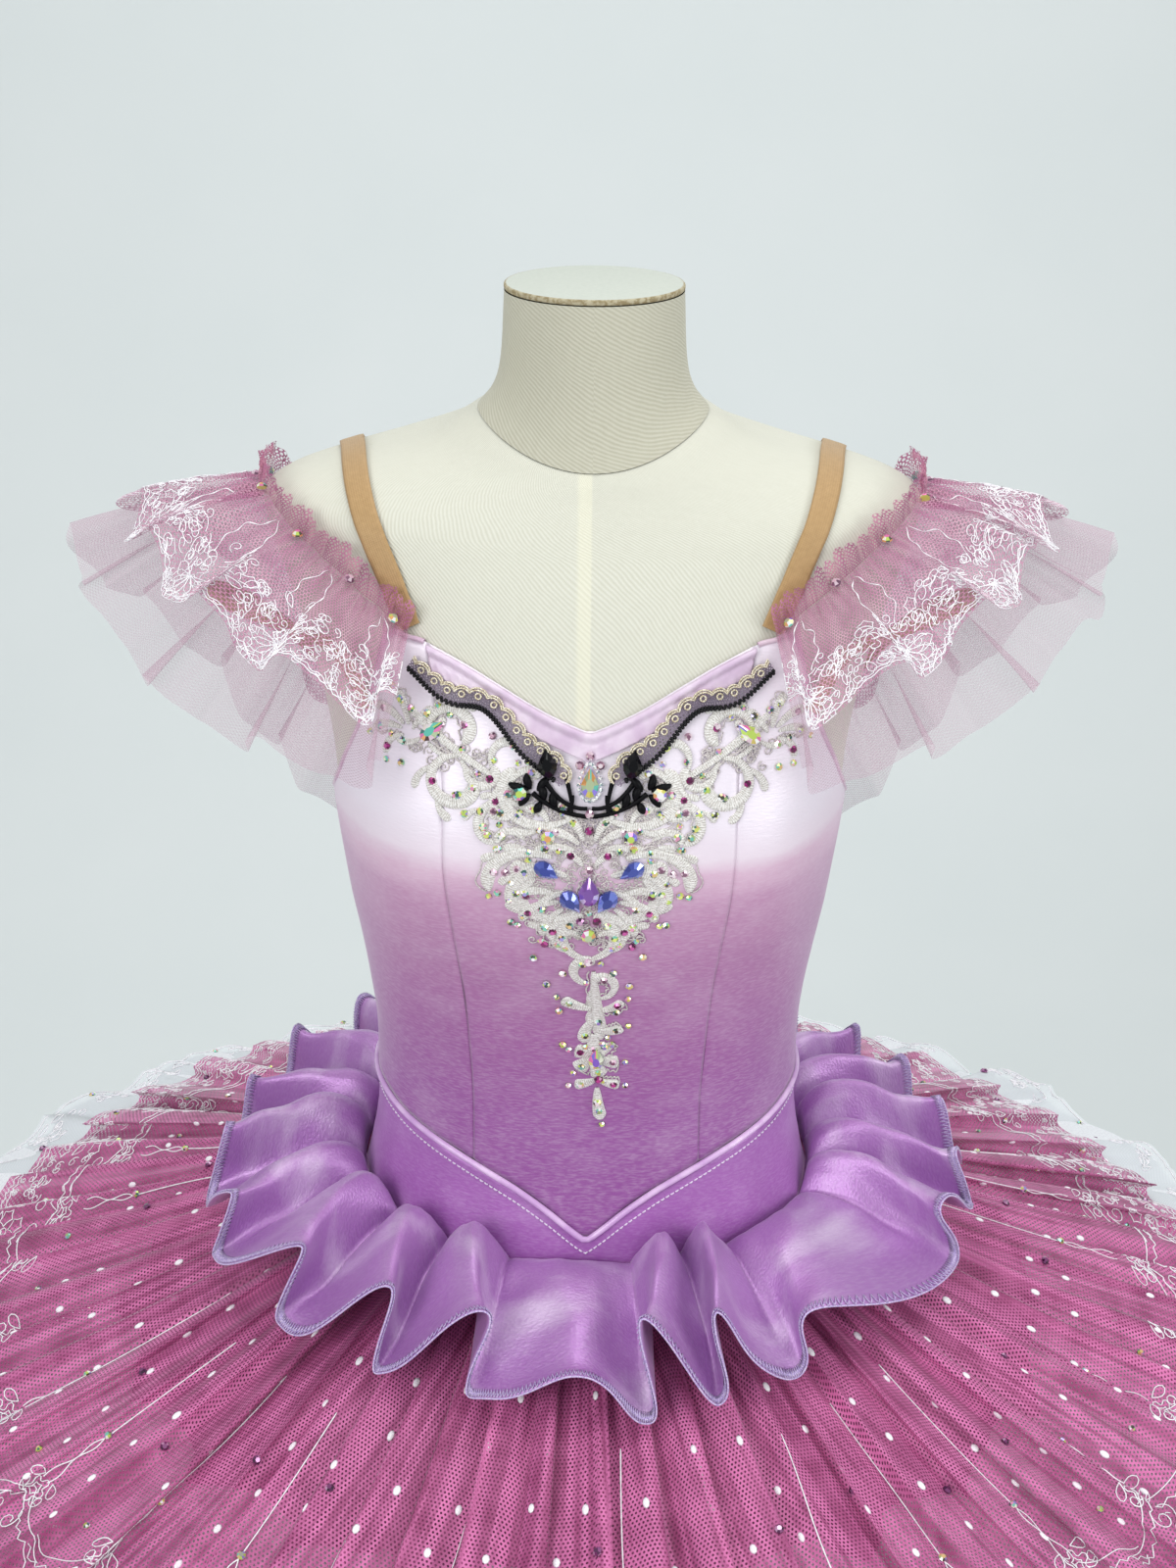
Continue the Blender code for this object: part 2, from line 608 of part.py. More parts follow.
def skirt_point(turn, reach, drop, wave):
    """A point of a skirt layer: reach 0 is at the figure and 1 at the widest rim."""
    root_z = SKIRT_FALL[0].z - drop + skirt_tilt(turn, 0.0)
    root = figure(root_z - PLEAT_DEEP_IN, turn, SHELL_OUT + 3 * SEAM_GAP)
    rim = Vector((math.sin(turn), -math.cos(turn), 0.0)) * RIM_RADIUS
    point = mixed(root, rim, reach)
    point.z = eased(SKIRT_FALL, reach, "z") + skirt_tilt(turn, reach) - drop
    point.z += wave * mixed(PLEAT_DEEP_IN, PLEAT_DEEP_OUT, reach)
    return point


def pleat_wave(turn, pleats):
    """Pleats of uneven width: -1 to 1."""
    phase = pleats * turn + 0.5 * math.sin(4 * turn + 1) + 0.3 * math.sin(9 * turn)
    return math.sin(phase)


def build_skirt(collection):
    """The embroidered top layer, the white lace on its plate of net, and two shorter nets."""
    for layer in SKIRT_LAYERS:
        count = layer.pleats * layer.samples
        turns = [2 * math.pi * n / count for n in range(count)]
        rows = []
        for reach in layer.stations:
            drop = layer.row * mixed(ROW_PITCH, RIM_PITCH, reach) - layer.lift
            rows.append([skirt_point(t, reach, drop, pleat_wave(t, layer.pleats)) for t in turns])
        add_sheet(collection, layer.name, rows, NET_WALL, layer.colour, closed=True)


def ruffle_width(turn):
    c = math.cos(turn)
    end = RUFFLE_WIDTH_FRONT if c > 0 else RUFFLE_WIDTH_BACK
    return mixed(RUFFLE_WIDTH_SIDE, end, c * c)


def build_ruffle(collection):
    """The gathered satin peplum at the basque's hem, in deep uneven waves."""
    samples = 6
    count = RUFFLE_WAVES * samples
    rows = []
    for share, lift, deep in ((0.0, 0.0, 0.12), (0.5, 0.004, 0.62), (1.0, 0.0, 1.0)):
        row = []
        for n in range(count):
            turn = 2 * math.pi * n / count
            phase = RUFFLE_WAVES * turn
            reach = share * ruffle_width(turn) * (1 + 0.05 * math.sin(5 * turn + 1))
            high = 0.88 + 0.14 * math.sin(7 * turn + 0.5) + 0.10 * math.sin(3 * turn)
            sway = -0.0045 * deep * math.sin(2 * phase)
            drop = mixed(RUFFLE_DROP_BACK, RUFFLE_DROP_FRONT, (1 + math.cos(turn)) / 2)
            root_z = basque_hem(turn) + 0.003
            away = outward(root_z, turn)
            along = Vector((-away.y, away.x, 0.0))
            point = figure(root_z, turn, SHELL_OUT + 3 * SEAM_GAP) + away * reach + along * sway
            point.z = root_z + lift - drop * share * share
            point.z += RUFFLE_DEPTH * high * deep * math.sin(phase)
            row.append(point)
        rows.append(row)
    add_sheet(collection, "peplum_ruffle", rows, SATIN_WALL, MAUVE, closed=True, roughness=0.35)


# ---------------------------------------------------------------- straps and sleeves
def mirrored(points, side):
    return [Vector((p[0] * side, p[1], p[2])) for p in points]


def seated(surface, point, off):
    """The point moved to stand off from the form's surface, and the way out of it."""
    place, normal, _, _ = surface.find_nearest(point)
    return place + normal * off, normal


def softened(normals):
    """Each direction averaged with its two neighbours."""
    last = len(normals) - 1
    return [
        (normals[max(i - 1, 0)] + 2 * n + normals[min(i + 1, last)]).normalized()
        for i, n in enumerate(normals)
    ]


def build_straps(collection, surface):
    """A flat elastic over each shoulder, from the front corner to the back."""
    for name, side in (("left", 1), ("right", -1)):
        path = smooth_path(mirrored(STRAP, side), 4)
        seats = [seated(surface, p, 4 * SEAM_GAP + RIBBON_WALL / 2) for p in path]
        normals = [s[1] for s in seats]
        for _ in range(3):
            normals = softened(normals)
        add_ribbon(
            collection, f"strap_{name}", [s[0] for s in seats], normals, STRAP_WIDTH,
            RIBBON_WALL, TAN,
        )


def build_arm_elastics(collection):
    """The bare half of each sleeve's elastic, which passes under the arm."""
    out = SHELL_OUT + 8 * SEAM_GAP
    for name, side in (("left", 1), ("right", -1)):
        front = figure(ELASTIC_FRONT.z, ELASTIC_FRONT.turn, out)
        back = figure(ELASTIC_BACK.z, ELASTIC_BACK.turn, out)
        path = smooth_path(mirrored([front, *ARM_ELASTIC, back], side), 3)
        middle = Vector((side * 0.13, 0.0, 1.26))
        normals = []
        for point in path:
            away = point - middle
            normals.append(Vector((away.x, away.y, 0.0)).normalized())
        add_ribbon(
            collection, f"arm_elastic_{name}", path, normals, ELASTIC_WIDTH, RIBBON_WALL, TAN
        )


def frill_rows(line, edge, rows_of, side, bulge):
    """Rows of a gathered frill, each at a share of the way from its gathering line to its edge.

    Each row has the depth of its waves and its lift off the layer below. A share of -1 is the
    edge of the narrow heading that stands up beyond the line.
    """
    samples = 6
    rows = [[] for _ in rows_of]
    for n, (start, end) in enumerate(zip(line, edge)):
        ahead = line[min(n + 1, len(line) - 1)] - line[max(n - 1, 0)]
        down = end - start
        normal = down.cross(ahead).normalized() * side
        for row, (share, deep, lift) in zip(rows, rows_of):
            wave = deep * math.sin(2 * math.pi * n / samples)
            if share < 0:
                lean = (normal - 0.30 * down.normalized()).normalized()
                row.append(start + normal * lift + lean * HEADING + down.normalized() * wave)
            else:
                belly = bulge * math.sin(math.pi * share)
                row.append(start + down * share + normal * (wave + belly + lift))
    return rows


def build_sleeves(collection, surface):
    """Off-the-shoulder frills: embroidered lace with its heading, over plain tulle."""
    per_span = SLEEVE_WAVES * 6 // (len(SLEEVE) - 1)
    near, far = LINE_PITCH, FRILL_PITCH
    tulle_rows = ((0.0, 0.0004, 0.0), (0.5, 0.0048, 0.0), (1.0, 0.0085, 0.0))
    lace_rows = ((-1.0, 0.0035, near), (0.0, 0.0004, near), (0.5, 0.0040, far), (1.0, 0.0075, far))
    for name, side in (("left", 1), ("right", -1)):
        path = smooth_path(mirrored([s.line for s in SLEEVE], side), per_span)
        line = [seated(surface, p, LINE_OFF)[0] for p in path]
        for cloth, rows_of, bulge, colour in (
            ("tulle", tulle_rows, 0.002, TULLE_PINK),
            ("lace", lace_rows, 0.008, RASPBERRY),
        ):
            edge = smooth_path(mirrored([getattr(s, cloth) for s in SLEEVE], side), per_span)
            rows = frill_rows(line, edge, rows_of, side, bulge)
            add_sheet(collection, f"sleeve_{cloth}_{name}", rows, NET_WALL, colour)


def main():
    clear_scene()
    collection = bpy.data.collections.new("ballet_tutu")
    bpy.context.scene.collection.children.link(collection)
    surface = build_form(collection)
    build_bodice(collection)
    build_basque(collection)
    build_piping(collection)
    build_neck_band(collection)
    build_applique(collection)
    build_swags(collection)
    build_skirt(collection)
    build_ruffle(collection)
    build_straps(collection, surface)
    build_arm_elastics(collection)
    build_sleeves(collection, surface)


main()
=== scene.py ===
"""Looks of a ballet tutu on its limbless dress form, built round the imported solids, in metres.

+Z is up, the front faces -Y and the wearer's left is +X. A turn is the angle round the figure: 0 at
the centre front, +pi/2 at the wearer's left side seam and pi at the centre back.
"""
import logging
import math
from collections.abc import Callable
from dataclasses import dataclass, replace
from enum import Enum

import bpy
import numpy as np
from mathutils import Matrix, Vector
from mathutils.bvhtree import BVHTree


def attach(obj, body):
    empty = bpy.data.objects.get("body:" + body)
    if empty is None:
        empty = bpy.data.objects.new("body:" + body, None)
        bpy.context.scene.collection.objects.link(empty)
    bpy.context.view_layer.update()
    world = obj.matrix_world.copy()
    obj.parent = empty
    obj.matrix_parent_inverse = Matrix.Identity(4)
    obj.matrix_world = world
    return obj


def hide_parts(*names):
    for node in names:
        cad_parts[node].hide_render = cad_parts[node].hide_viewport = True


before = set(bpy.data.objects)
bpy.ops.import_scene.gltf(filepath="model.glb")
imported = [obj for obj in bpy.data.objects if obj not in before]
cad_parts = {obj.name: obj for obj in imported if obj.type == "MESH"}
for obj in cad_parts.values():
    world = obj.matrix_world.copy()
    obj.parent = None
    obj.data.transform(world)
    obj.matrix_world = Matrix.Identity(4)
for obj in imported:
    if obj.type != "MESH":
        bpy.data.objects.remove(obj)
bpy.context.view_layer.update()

Array = np.ndarray
Node = bpy.types.Node
Tree = bpy.types.NodeTree
Socket = bpy.types.NodeSocket
Material = bpy.types.Material
Object = bpy.types.Object
Point = tuple[float, float, float]
Colour = tuple[float, float, float, float]
Edge = Callable[[Array], Array]  # a height or a reach at each turn

log = logging.getLogger("tutu")
BODY = "root"
MM = 0.001
TAU = 2 * math.pi
UP = np.array([0.0, 0.0, 1.0])
DOWN = 1.57  # heading down the cloth on a needlework plan

# ---------------------------------------------------------------- sizes shared with the solids
SEAM_GAP = 0.0004
FORM_CLEARANCE, BODICE_WALL = 0.0015, 0.0015
SHELL_OUT = FORM_CLEARANCE + BODICE_WALL
NECK_TOP_Z, CAP_HEIGHT, CAP_RADIUS = 1.4565, 0.0032, 0.0497
POLE_RADIUS, FORM_BOTTOM_Z, STAND_TOP_Z = 0.0125, 0.700, 0.045
RIM_RADIUS = 0.560
RING_POWER = 2.25
BUST_TURN, BUST_Z, BUST_SPREAD_TURN, BUST_SPREAD_Z = 0.66, 1.165, 0.33, 0.050
CUP_RISE, FORM_BUST_RISE = 0.009, 0.006
PRINCESS_FRONT, SIDE_SEAM, PRINCESS_BACK = 0.50, 1.62, 2.45
BASQUE_HEM_Z, BASQUE_TILT = 0.907, 0.009

# Height, half width, front depth and back depth of the figure's level rings.
FIGURE = np.array([
    (0.700, 0.166, 0.111, 0.121), (0.760, 0.164, 0.113, 0.120), (0.820, 0.158, 0.114, 0.116),
    (0.860, 0.149, 0.113, 0.109), (0.895, 0.139, 0.110, 0.099), (0.923, 0.132, 0.105, 0.092),
    (0.950, 0.1275, 0.099, 0.086), (0.983, 0.1265, 0.095, 0.082), (1.013, 0.127, 0.097, 0.083),
    (1.047, 0.1305, 0.103, 0.086), (1.078, 0.135, 0.110, 0.090), (1.106, 0.140, 0.1165, 0.094),
    (1.140, 0.145, 0.1205, 0.098), (1.165, 0.1475, 0.1215, 0.101), (1.200, 0.150, 0.119, 0.103),
    (1.235, 0.156, 0.112, 0.104), (1.270, 0.165, 0.102, 0.103), (1.300, 0.175, 0.092, 0.100),
    (1.325, 0.183, 0.082, 0.095),
])
# Front, side and back height, half width, front and back depth and power of the sloping rings.
SHOULDERS = np.array([
    (1.333, 1.343, 1.340, 0.1850, 0.0785, 0.0920, 2.15),
    (1.341, 1.353, 1.353, 0.1740, 0.0750, 0.0880, 2.05),
    (1.348, 1.3605, 1.365, 0.1520, 0.0715, 0.0830, 2.0),
    (1.355, 1.3665, 1.376, 0.1260, 0.0680, 0.0760, 2.0),
    (1.362, 1.375, 1.389, 0.0920, 0.0645, 0.0680, 2.0),
    (1.369, 1.3915, 1.402, 0.0646, 0.0600, 0.0580, 2.0),
    (1.385, 1.403, 1.412, 0.0560, 0.0555, 0.0540, 2.0),
    (1.410, 1.420, 1.425, 0.0515, 0.0515, 0.0505, 2.0),
    (NECK_TOP_Z, NECK_TOP_Z, NECK_TOP_Z, 0.0495, 0.0495, 0.0495, 2.0),
])
NECK_SEAM_RING = 5  # of the sloping rings
# Turn and height along each edge.
BODICE_TOP = np.array([
    (0.00, 1.2404), (0.13, 1.2515), (0.26, 1.2640), (0.38, 1.2745), (0.50, 1.2825),
    (0.57, 1.2845), (0.66, 1.2845), (0.78, 1.2550), (0.92, 1.2280), (1.08, 1.2060),
    (1.26, 1.1840), (1.44, 1.1700), (1.62, 1.1660), (1.80, 1.1690), (1.98, 1.1830),
    (2.15, 1.2060), (2.30, 1.2130), (2.45, 1.2140), (2.79, 1.2070), (math.pi, 1.2030),
])
WAIST_LINE = np.array([
    (0.00, 0.9150), (0.13, 0.9310), (0.26, 0.9425), (0.38, 0.9500), (0.50, 0.9560),
    (0.66, 0.9625), (0.92, 0.9705), (1.26, 0.9785), (1.62, 0.9805), (2.15, 0.9740),
    (2.62, 0.9620), (math.pi, 0.9450),
])
LEG_LINE = np.array([
    (0.00, 0.7015), (0.26, 0.7015), (0.50, 0.7480), (0.78, 0.7850), (1.26, 0.8150),
    (1.62, 0.8220), (2.15, 0.7850), (2.62, 0.7350), (2.79, 0.7015), (math.pi, 0.7015),
])
# Reach, from 0 at the figure to 1 at the widest rim, and height of the skirt's common slope.
SKIRT_FALL = np.array([
    (0.0, 0.890), (0.15, 0.861), (0.25, 0.841), (0.38, 0.817), (0.52, 0.794), (0.67, 0.769),
    (0.81, 0.744), (1.0, 0.712),
])
BEND, LACE_BAND_LIFT = 0.335, 0.0021
ROW_PITCH, RIM_PITCH, SKIRT_TILT = 0.0090, 0.0160, 0.010
# Points of each sleeve's gathering line, lace edge and tulle edge, for the wearer's left.
SLEEVE_LINE = [
    (0.103, -0.098, 1.288), (0.130, -0.082, 1.306), (0.160, -0.060, 1.326),
    (0.186, -0.030, 1.345), (0.195, 0.000, 1.351), (0.190, 0.030, 1.338),
    (0.178, 0.052, 1.304), (0.158, 0.064, 1.258), (0.130, 0.070, 1.207),
]
SLEEVE_LACE = [
    (0.102, -0.140, 1.250), (0.151, -0.129, 1.263), (0.212, -0.094, 1.290),
    (0.250, -0.052, 1.320), (0.268, -0.004, 1.335), (0.262, 0.042, 1.315),
    (0.236, 0.084, 1.268), (0.200, 0.104, 1.206), (0.156, 0.112, 1.150),
]
SLEEVE_TULLE = [
    (0.104, -0.132, 1.220), (0.157, -0.118, 1.222), (0.226, -0.087, 1.243),
    (0.276, -0.046, 1.285), (0.298, 0.005, 1.307), (0.286, 0.052, 1.270),
    (0.243, 0.094, 1.213), (0.206, 0.106, 1.148), (0.166, 0.112, 1.100),
]
LINE_OFF, LINE_PITCH, FRILL_PITCH, HEADING = 0.0041, 0.0017, 0.0034, 0.016
STRAP = [
    (0.1020, -0.096, 1.2910), (0.1080, -0.089, 1.305), (0.1180, -0.075, 1.330),
    (0.1275, -0.045, 1.354), (0.1345, 0.000, 1.3665), (0.1370, 0.045, 1.352),
    (0.1245, 0.078, 1.318), (0.1100, 0.090, 1.270), (0.1010, 0.094, 1.2175),
]
STRAP_WIDTH, ELASTIC_WIDTH, RIBBON_WALL = 0.0142, 0.0080, 0.0012
BAND_GAP, BAND_WALL, BAND_DEPTH = 0.0007, 0.0010, 0.0150
# Distance to the side, height and width along each black lace, for the wearer's left.
BLACK_SWAG = np.array([
    (0.0135, 1.2120, 0.009), (0.0175, 1.2215, 0.017), (0.026, 1.2325, 0.018),
    (0.040, 1.2415, 0.014), (0.054, 1.2500, 0.013), (0.069, 1.2590, 0.014),
    (0.083, 1.2660, 0.013), (0.096, 1.2685, 0.010),
])
JEWEL_Z, JEWEL_LONG, JEWEL_WIDE = 1.2137, 0.0178, 0.0096
NARROWEST_SHEET = 0.010  # narrower bands are trim
ARM_ELASTIC = [
    (0.140, -0.074, 1.272), (0.168, -0.060, 1.280), (0.198, -0.038, 1.283),
    (0.219, -0.012, 1.283), (0.217, 0.012, 1.279), (0.203, 0.032, 1.266),
    (0.180, 0.044, 1.243), (0.157, 0.051, 1.214),
]
ELASTIC_FRONT, ELASTIC_BACK = (0.80, 1.243), (2.05, 1.182)


# ---------------------------------------------------------------- shapes
def linear(code: str) -> Colour:
    """The linear colour of an sRGB hex code, with an alpha of 1."""
    parts = [int(code[i:i + 2], 16) / 255 for i in (1, 3, 5)]
    return (*(p / 12.92 if p <= 0.04045 else ((p + 0.055) / 1.055) ** 2.4 for p in parts), 1.0)


def mixed(a: Array | float, b: Array | float, share: Array | float) -> Array | float:
    """The value a share of the way from a to b."""
    return a + (b - a) * share


def eased(table: Array, at: Array, column: int = 1) -> Array:
    """Smooth values of one column of a table between its rows.

    Args:
        table: rows whose first column rises.
        at: where to read it, in the first column's terms.
        column: the column to read.

    Returns:
        Values of the shape of at.
    """
    keys, values = table[:, 0], table[:, column]
    at = np.clip(at, keys[0], keys[-1])
    i = np.clip(np.searchsorted(keys, at, side="right") - 1, 0, len(keys) - 2)
    rows = np.arange(len(keys))
    low, high = np.maximum(rows - 1, 0), np.minimum(rows + 1, len(keys) - 1)
    slope = (values[high] - values[low]) / (keys[high] - keys[low])
    span = keys[i + 1] - keys[i]
    u = (at - keys[i]) / span
    rise = (3 - 2 * u) * u * u
    bend = span * u * (1 - u) * ((1 - u) * slope[i] - u * slope[i + 1])
    return values[i] * (1 - rise) + values[i + 1] * rise + bend


def signed_power(value: Array, power: float) -> Array:
    """A power that keeps the value's sign."""
    return np.sign(value) * np.abs(value) ** power


def unit(vectors: Array) -> Array:
    """The vectors at length 1."""
    return vectors / np.maximum(np.linalg.norm(vectors, axis=-1, keepdims=True), 1e-12)


def travelled(path: Array) -> Array:
    """How far along a path each of its points lies."""
    return np.concatenate([[0], np.cumsum(np.linalg.norm(np.diff(path, axis=0), axis=1))])


def smooth_path(points: list[Point], count: int, side: int = 1) -> Array:
    """A curve through the points.

    Args:
        points: places that the curve passes, on the wearer's left.
        count: stretches between each two of them.
        side: 1, or -1 to mirror them to the wearer's right.

    Returns:
        The curve's points, one a row.
    """
    p = np.asarray(points, float) * (side, 1, 1)
    p = np.vstack([2 * p[0] - p[1], p, 2 * p[-1] - p[-2]])
    u = (np.arange(count) / count)[:, None]
    runs = []
    for a, b, c, d in zip(p, p[1:], p[2:], p[3:]):
        runs.append(0.5 * (2 * b + (c - a) * u + (2 * a - 5 * b + 4 * c - d) * u ** 2
                           + (3 * b - a - 3 * c + d) * u ** 3))
    return np.vstack([*runs, p[-2:-1]])


def softened(rows: Array, times: int) -> Array:
    """Each row averaged with its two neighbours, as often as asked."""
    for _ in range(times):
        padded = np.vstack([rows[:1], rows, rows[-1:]])
        rows = (padded[:-2] + 2 * padded[1:-1] + padded[2:]) / 4
    return rows


def ripple(a: Array, b: Array, seed: int, waves: int = 7) -> Array:
    """Soft uneven relief from a sum of a few waves in unlike directions.

    Args:
        a: first coordinate, in wavelengths.
        b: second coordinate, in wavelengths.
        seed: picks the waves.
        waves: how many are added.

    Returns:
        Values from about -1 to 1.
    """
    rng = np.random.default_rng(seed)
    total = np.zeros(np.broadcast(a, b).shape)
    for _ in range(waves):
        heading, phase, pace = rng.uniform(0, TAU), rng.uniform(0, TAU), rng.uniform(0.6, 1.5)
        total += np.sin(TAU * pace * (a * math.cos(heading) + b * math.sin(heading)) + phase)
    return total / math.sqrt(waves) / 1.3


def ring_points(size: tuple[Array, Array, Array], power: float, turn: Array,
                out: Array) -> tuple[Array, Array]:
    """Points of a rounded ring, moved outwards.

    Args:
        size: half width, front depth and back depth.
        power: how square the ring is.
        turn: angles round it.
        out: how far outwards.

    Returns:
        The points and the outward directions, both at height 0.
    """
    half_width, front, back = size
    s, c = np.sin(turn), np.cos(turn)
    depth = np.where(c > 0, front, back)
    flat = np.zeros_like(s * depth)
    level = np.stack([half_width * signed_power(s, 2 / power),
                      -depth * signed_power(c, 2 / power), flat], -1)
    away = unit(np.stack([signed_power(s, 2 - 2 / power) / half_width,
                          -signed_power(c, 2 - 2 / power) / depth, flat], -1))
    return level + away * np.asarray(out)[..., None], away


class Figure:
    """The general figure that the dress form and the bodice share."""

    @staticmethod
    def sizes(z: Array) -> tuple[Array, Array, Array]:
        """Half width, front depth and back depth at each height."""
        return tuple(eased(FIGURE, z, column) for column in (1, 2, 3))

    @classmethod
    def point(cls, z: Array, turn: Array, out: Array, bust: float = CUP_RISE) -> Array:
        """Points of the figure at heights and turns, moved out; bust is how far the cups rise."""
        z, turn, out = np.broadcast_arrays(np.asarray(z, float), turn, out)
        wrapped = np.arctan2(np.sin(turn), np.cos(turn))
        spread = np.exp(-(((z - BUST_Z) / BUST_SPREAD_Z) ** 2))
        rise = sum(np.exp(-(((wrapped - side * BUST_TURN) / BUST_SPREAD_TURN) ** 2))
                   for side in (-1, 1))
        points, _ = ring_points(cls.sizes(z), RING_POWER, wrapped, out + bust * spread * rise)
        points[..., 2] = z
        return points

    @classmethod
    def outward(cls, z: Array, turn: Array) -> Array:
        """Level directions away from the figure."""
        z, turn = np.broadcast_arrays(np.asarray(z, float), turn)
        return ring_points(cls.sizes(z), RING_POWER, turn, 0.0)[1]

    @classmethod
    def at_x(cls, x: Array, z: Array, out: Array) -> Array:
        """Points of the figure's front that lie x to the side of the centre."""
        share = np.minimum(np.abs(x) / eased(FIGURE, z, 1), 1.0)
        return cls.point(z, np.sign(x) * np.arcsin(share ** (RING_POWER / 2)), out)


def edge_height(edge: Array, turn: Array) -> Array:
    """Height of a garment edge at each turn, the same on both sides."""
    return eased(edge, np.abs(np.arctan2(np.sin(turn), np.cos(turn))))


def basque_hem(turn: Array) -> Array:
    """Height of the basque's lower edge."""
    return BASQUE_HEM_Z - BASQUE_TILT * np.cos(turn)


class Net:
    """A net of points on a piece of cloth, read by shares across and along it."""

    def __init__(self, points: Array, closed: bool = False, towards: Array | None = None) -> None:
        """Keeps the points and works out the way out of the cloth at each.

        Args:
            points: rows by columns by 3.
            closed: joins the last column to the first.
            towards: a direction or directions on the cloth's face side.
        """
        self.points, self.closed = points, closed
        wide = np.concatenate([points[:, -1:], points, points[:, :1]], 1) if closed else points
        across = np.gradient(wide, axis=1)[:, 1:-1] if closed else np.gradient(points, axis=1)
        self.normals = unit(np.cross(across, np.gradient(points, axis=0)))
        face = points - points.mean((0, 1)) if towards is None else towards
        self.flipped = bool((self.normals * face).sum() < 0)
        if self.flipped:
            self.normals = -self.normals

    def place(self, across: Array, along: Array, off: Array | float = 0.0) -> tuple[Array, Array]:
        """Places on the cloth.

        Args:
            across: shares of the way over the columns, wrapped on a closed net.
            along: shares of the way over the rows.
            off: how far off the face side.

        Returns:
            Points and the directions out of the cloth.
        """
        rows, cols = self.points.shape[:2]
        r = np.clip(along, 0, 1) * (rows - 1)
        r0 = np.clip(r.astype(int), 0, rows - 2)
        if self.closed:
            c = np.mod(across, 1.0) * cols
            c0, v = c.astype(int) % cols, c - np.floor(c)
        else:
            c = np.clip(across, 0, 1) * (cols - 1)
            c0 = np.clip(c.astype(int), 0, cols - 2)
            v = c - c0
        c1 = (c0 + 1) % cols
        u, v = (r - r0)[..., None], v[..., None]
        found = []
        for grid in (self.points, self.normals):
            near = grid[r0, c0] * (1 - v) + grid[r0, c1] * v
            far = grid[r0 + 1, c0] * (1 - v) + grid[r0 + 1, c1] * v
            found.append(near * (1 - u) + far * u)
        normals = unit(found[1])
        return found[0] + normals * np.asarray(off)[..., None], normals

    def spot(self, across: float, along: float, off: float) -> tuple[Array, Array]:
        """One place on the cloth and the direction out of it there."""
        points, normals = self.place(np.array([across]), np.array([along]), off)
        return points[0], normals[0]

    @property
    def ring(self) -> Array:
        """The points, with a closed net's first column again after its last."""
        return np.concatenate([self.points, self.points[:, :1]], 1) if self.closed else self.points

    def breadth(self) -> Array:
        """The cloth's length across each row."""
        return np.linalg.norm(np.diff(self.ring, axis=1), axis=2).sum(1)

    def depth(self) -> Array:
        """The cloth's length down each column."""
        return np.linalg.norm(np.diff(self.points, axis=0), axis=2).sum(0)

    def area(self) -> float:
        """The cloth's area."""
        ring = self.ring
        a, b, c, d = ring[:-1, :-1], ring[:-1, 1:], ring[1:, 1:], ring[1:, :-1]
        return float(np.linalg.norm(np.cross(c - a, d - b), axis=2).sum() / 2)

    def cloth_map(self) -> Array:
        """Places in the cloth in metres, for its weave, one for each point of the ring."""
        u = np.linspace(-0.5, 0.5, self.ring.shape[1])[None, :] * float(np.median(self.breadth()))
        steps = np.linalg.norm(np.diff(self.points, axis=0), axis=2).mean(1)
        v = np.concatenate([[0], np.cumsum(steps)])[:, None]
        return np.stack(np.broadcast_arrays(u, v), -1)


# ---------------------------------------------------------------- making objects
def mesh_object(name: str, points: Array, faces: list[list[int]], smooth: bool = True) -> Object:
    """A mesh object at the origin, linked to the scene.

    Args:
        name: of the piece.
        points: one a row.
        faces: corner numbers of each face.
        smooth: whether faces are shaded smooth.

    Returns:
        The object.
    """
    mesh = bpy.data.meshes.new(name)
    mesh.from_pydata(np.asarray(points, float).tolist(), [], faces)
    mesh.polygons.foreach_set("use_smooth", [smooth] * len(mesh.polygons))
    obj = bpy.data.objects.new(name, mesh)
    bpy.context.scene.collection.objects.link(obj)
    return obj


def quad_corners(rows: int, cols: int, closed: bool = False) -> tuple[Array, Array]:
    """Row and column numbers of a grid's quads, four a row; a closed grid's run on by one."""
    r, c = np.meshgrid(np.arange(rows - 1), np.arange(cols if closed else cols - 1), indexing="ij")
    return (np.stack([r, r, r + 1, r + 1], -1).reshape(-1, 4),
            np.stack([c, c + 1, c + 1, c], -1).reshape(-1, 4))


def map_cloth(obj: Object, places: Array) -> None:
    """Gives an object the UV map named cloth, in metres, one place for each corner of each face."""
    obj.data.uv_layers.new(name="cloth").data.foreach_set("uv", places.reshape(-1))


def net_object(name: str, net: Net, wall: float = 0.0) -> Object:
    """A cloth object from its net, with its places in the cloth as its UV map.

    Args:
        name: of the piece.
        net: its points.
        wall: thickness inwards from the points, or 0 for a single surface.

    Returns:
        The object.
    """
    rows, cols = net.points.shape[:2]
    r, c = quad_corners(rows, cols, net.closed)
    if net.flipped:
        r, c = r[:, ::-1], c[:, ::-1]
    obj = mesh_object(name, net.points.reshape(-1, 3), (r * cols + c % cols).tolist())
    map_cloth(obj, net.cloth_map()[r, c])
    if wall:
        thicken = obj.modifiers.new("wall", "SOLIDIFY")
        thicken.thickness, thicken.offset = wall, -1.0
    return obj


class Bundle:
    """Many small shapes gathered into one mesh."""

    smooth = True

    def __init__(self) -> None:
        """Starts it empty."""
        self.points: list[Array] = []
        self.faces: list[list[int]] = []
        self.count = 0

    def grow(self, points: Array, faces: list[list[int]]) -> None:
        """Adds a shape whose faces count its own points from 0."""
        self.faces += [[corner + self.count for corner in face] for face in faces]
        self.points.append(points.reshape(-1, 3))
        self.count += len(self.points[-1])

    def finish(self, name: str) -> Object:
        """All shapes as one object."""
        return mesh_object(name, np.vstack(self.points), self.faces, self.smooth)


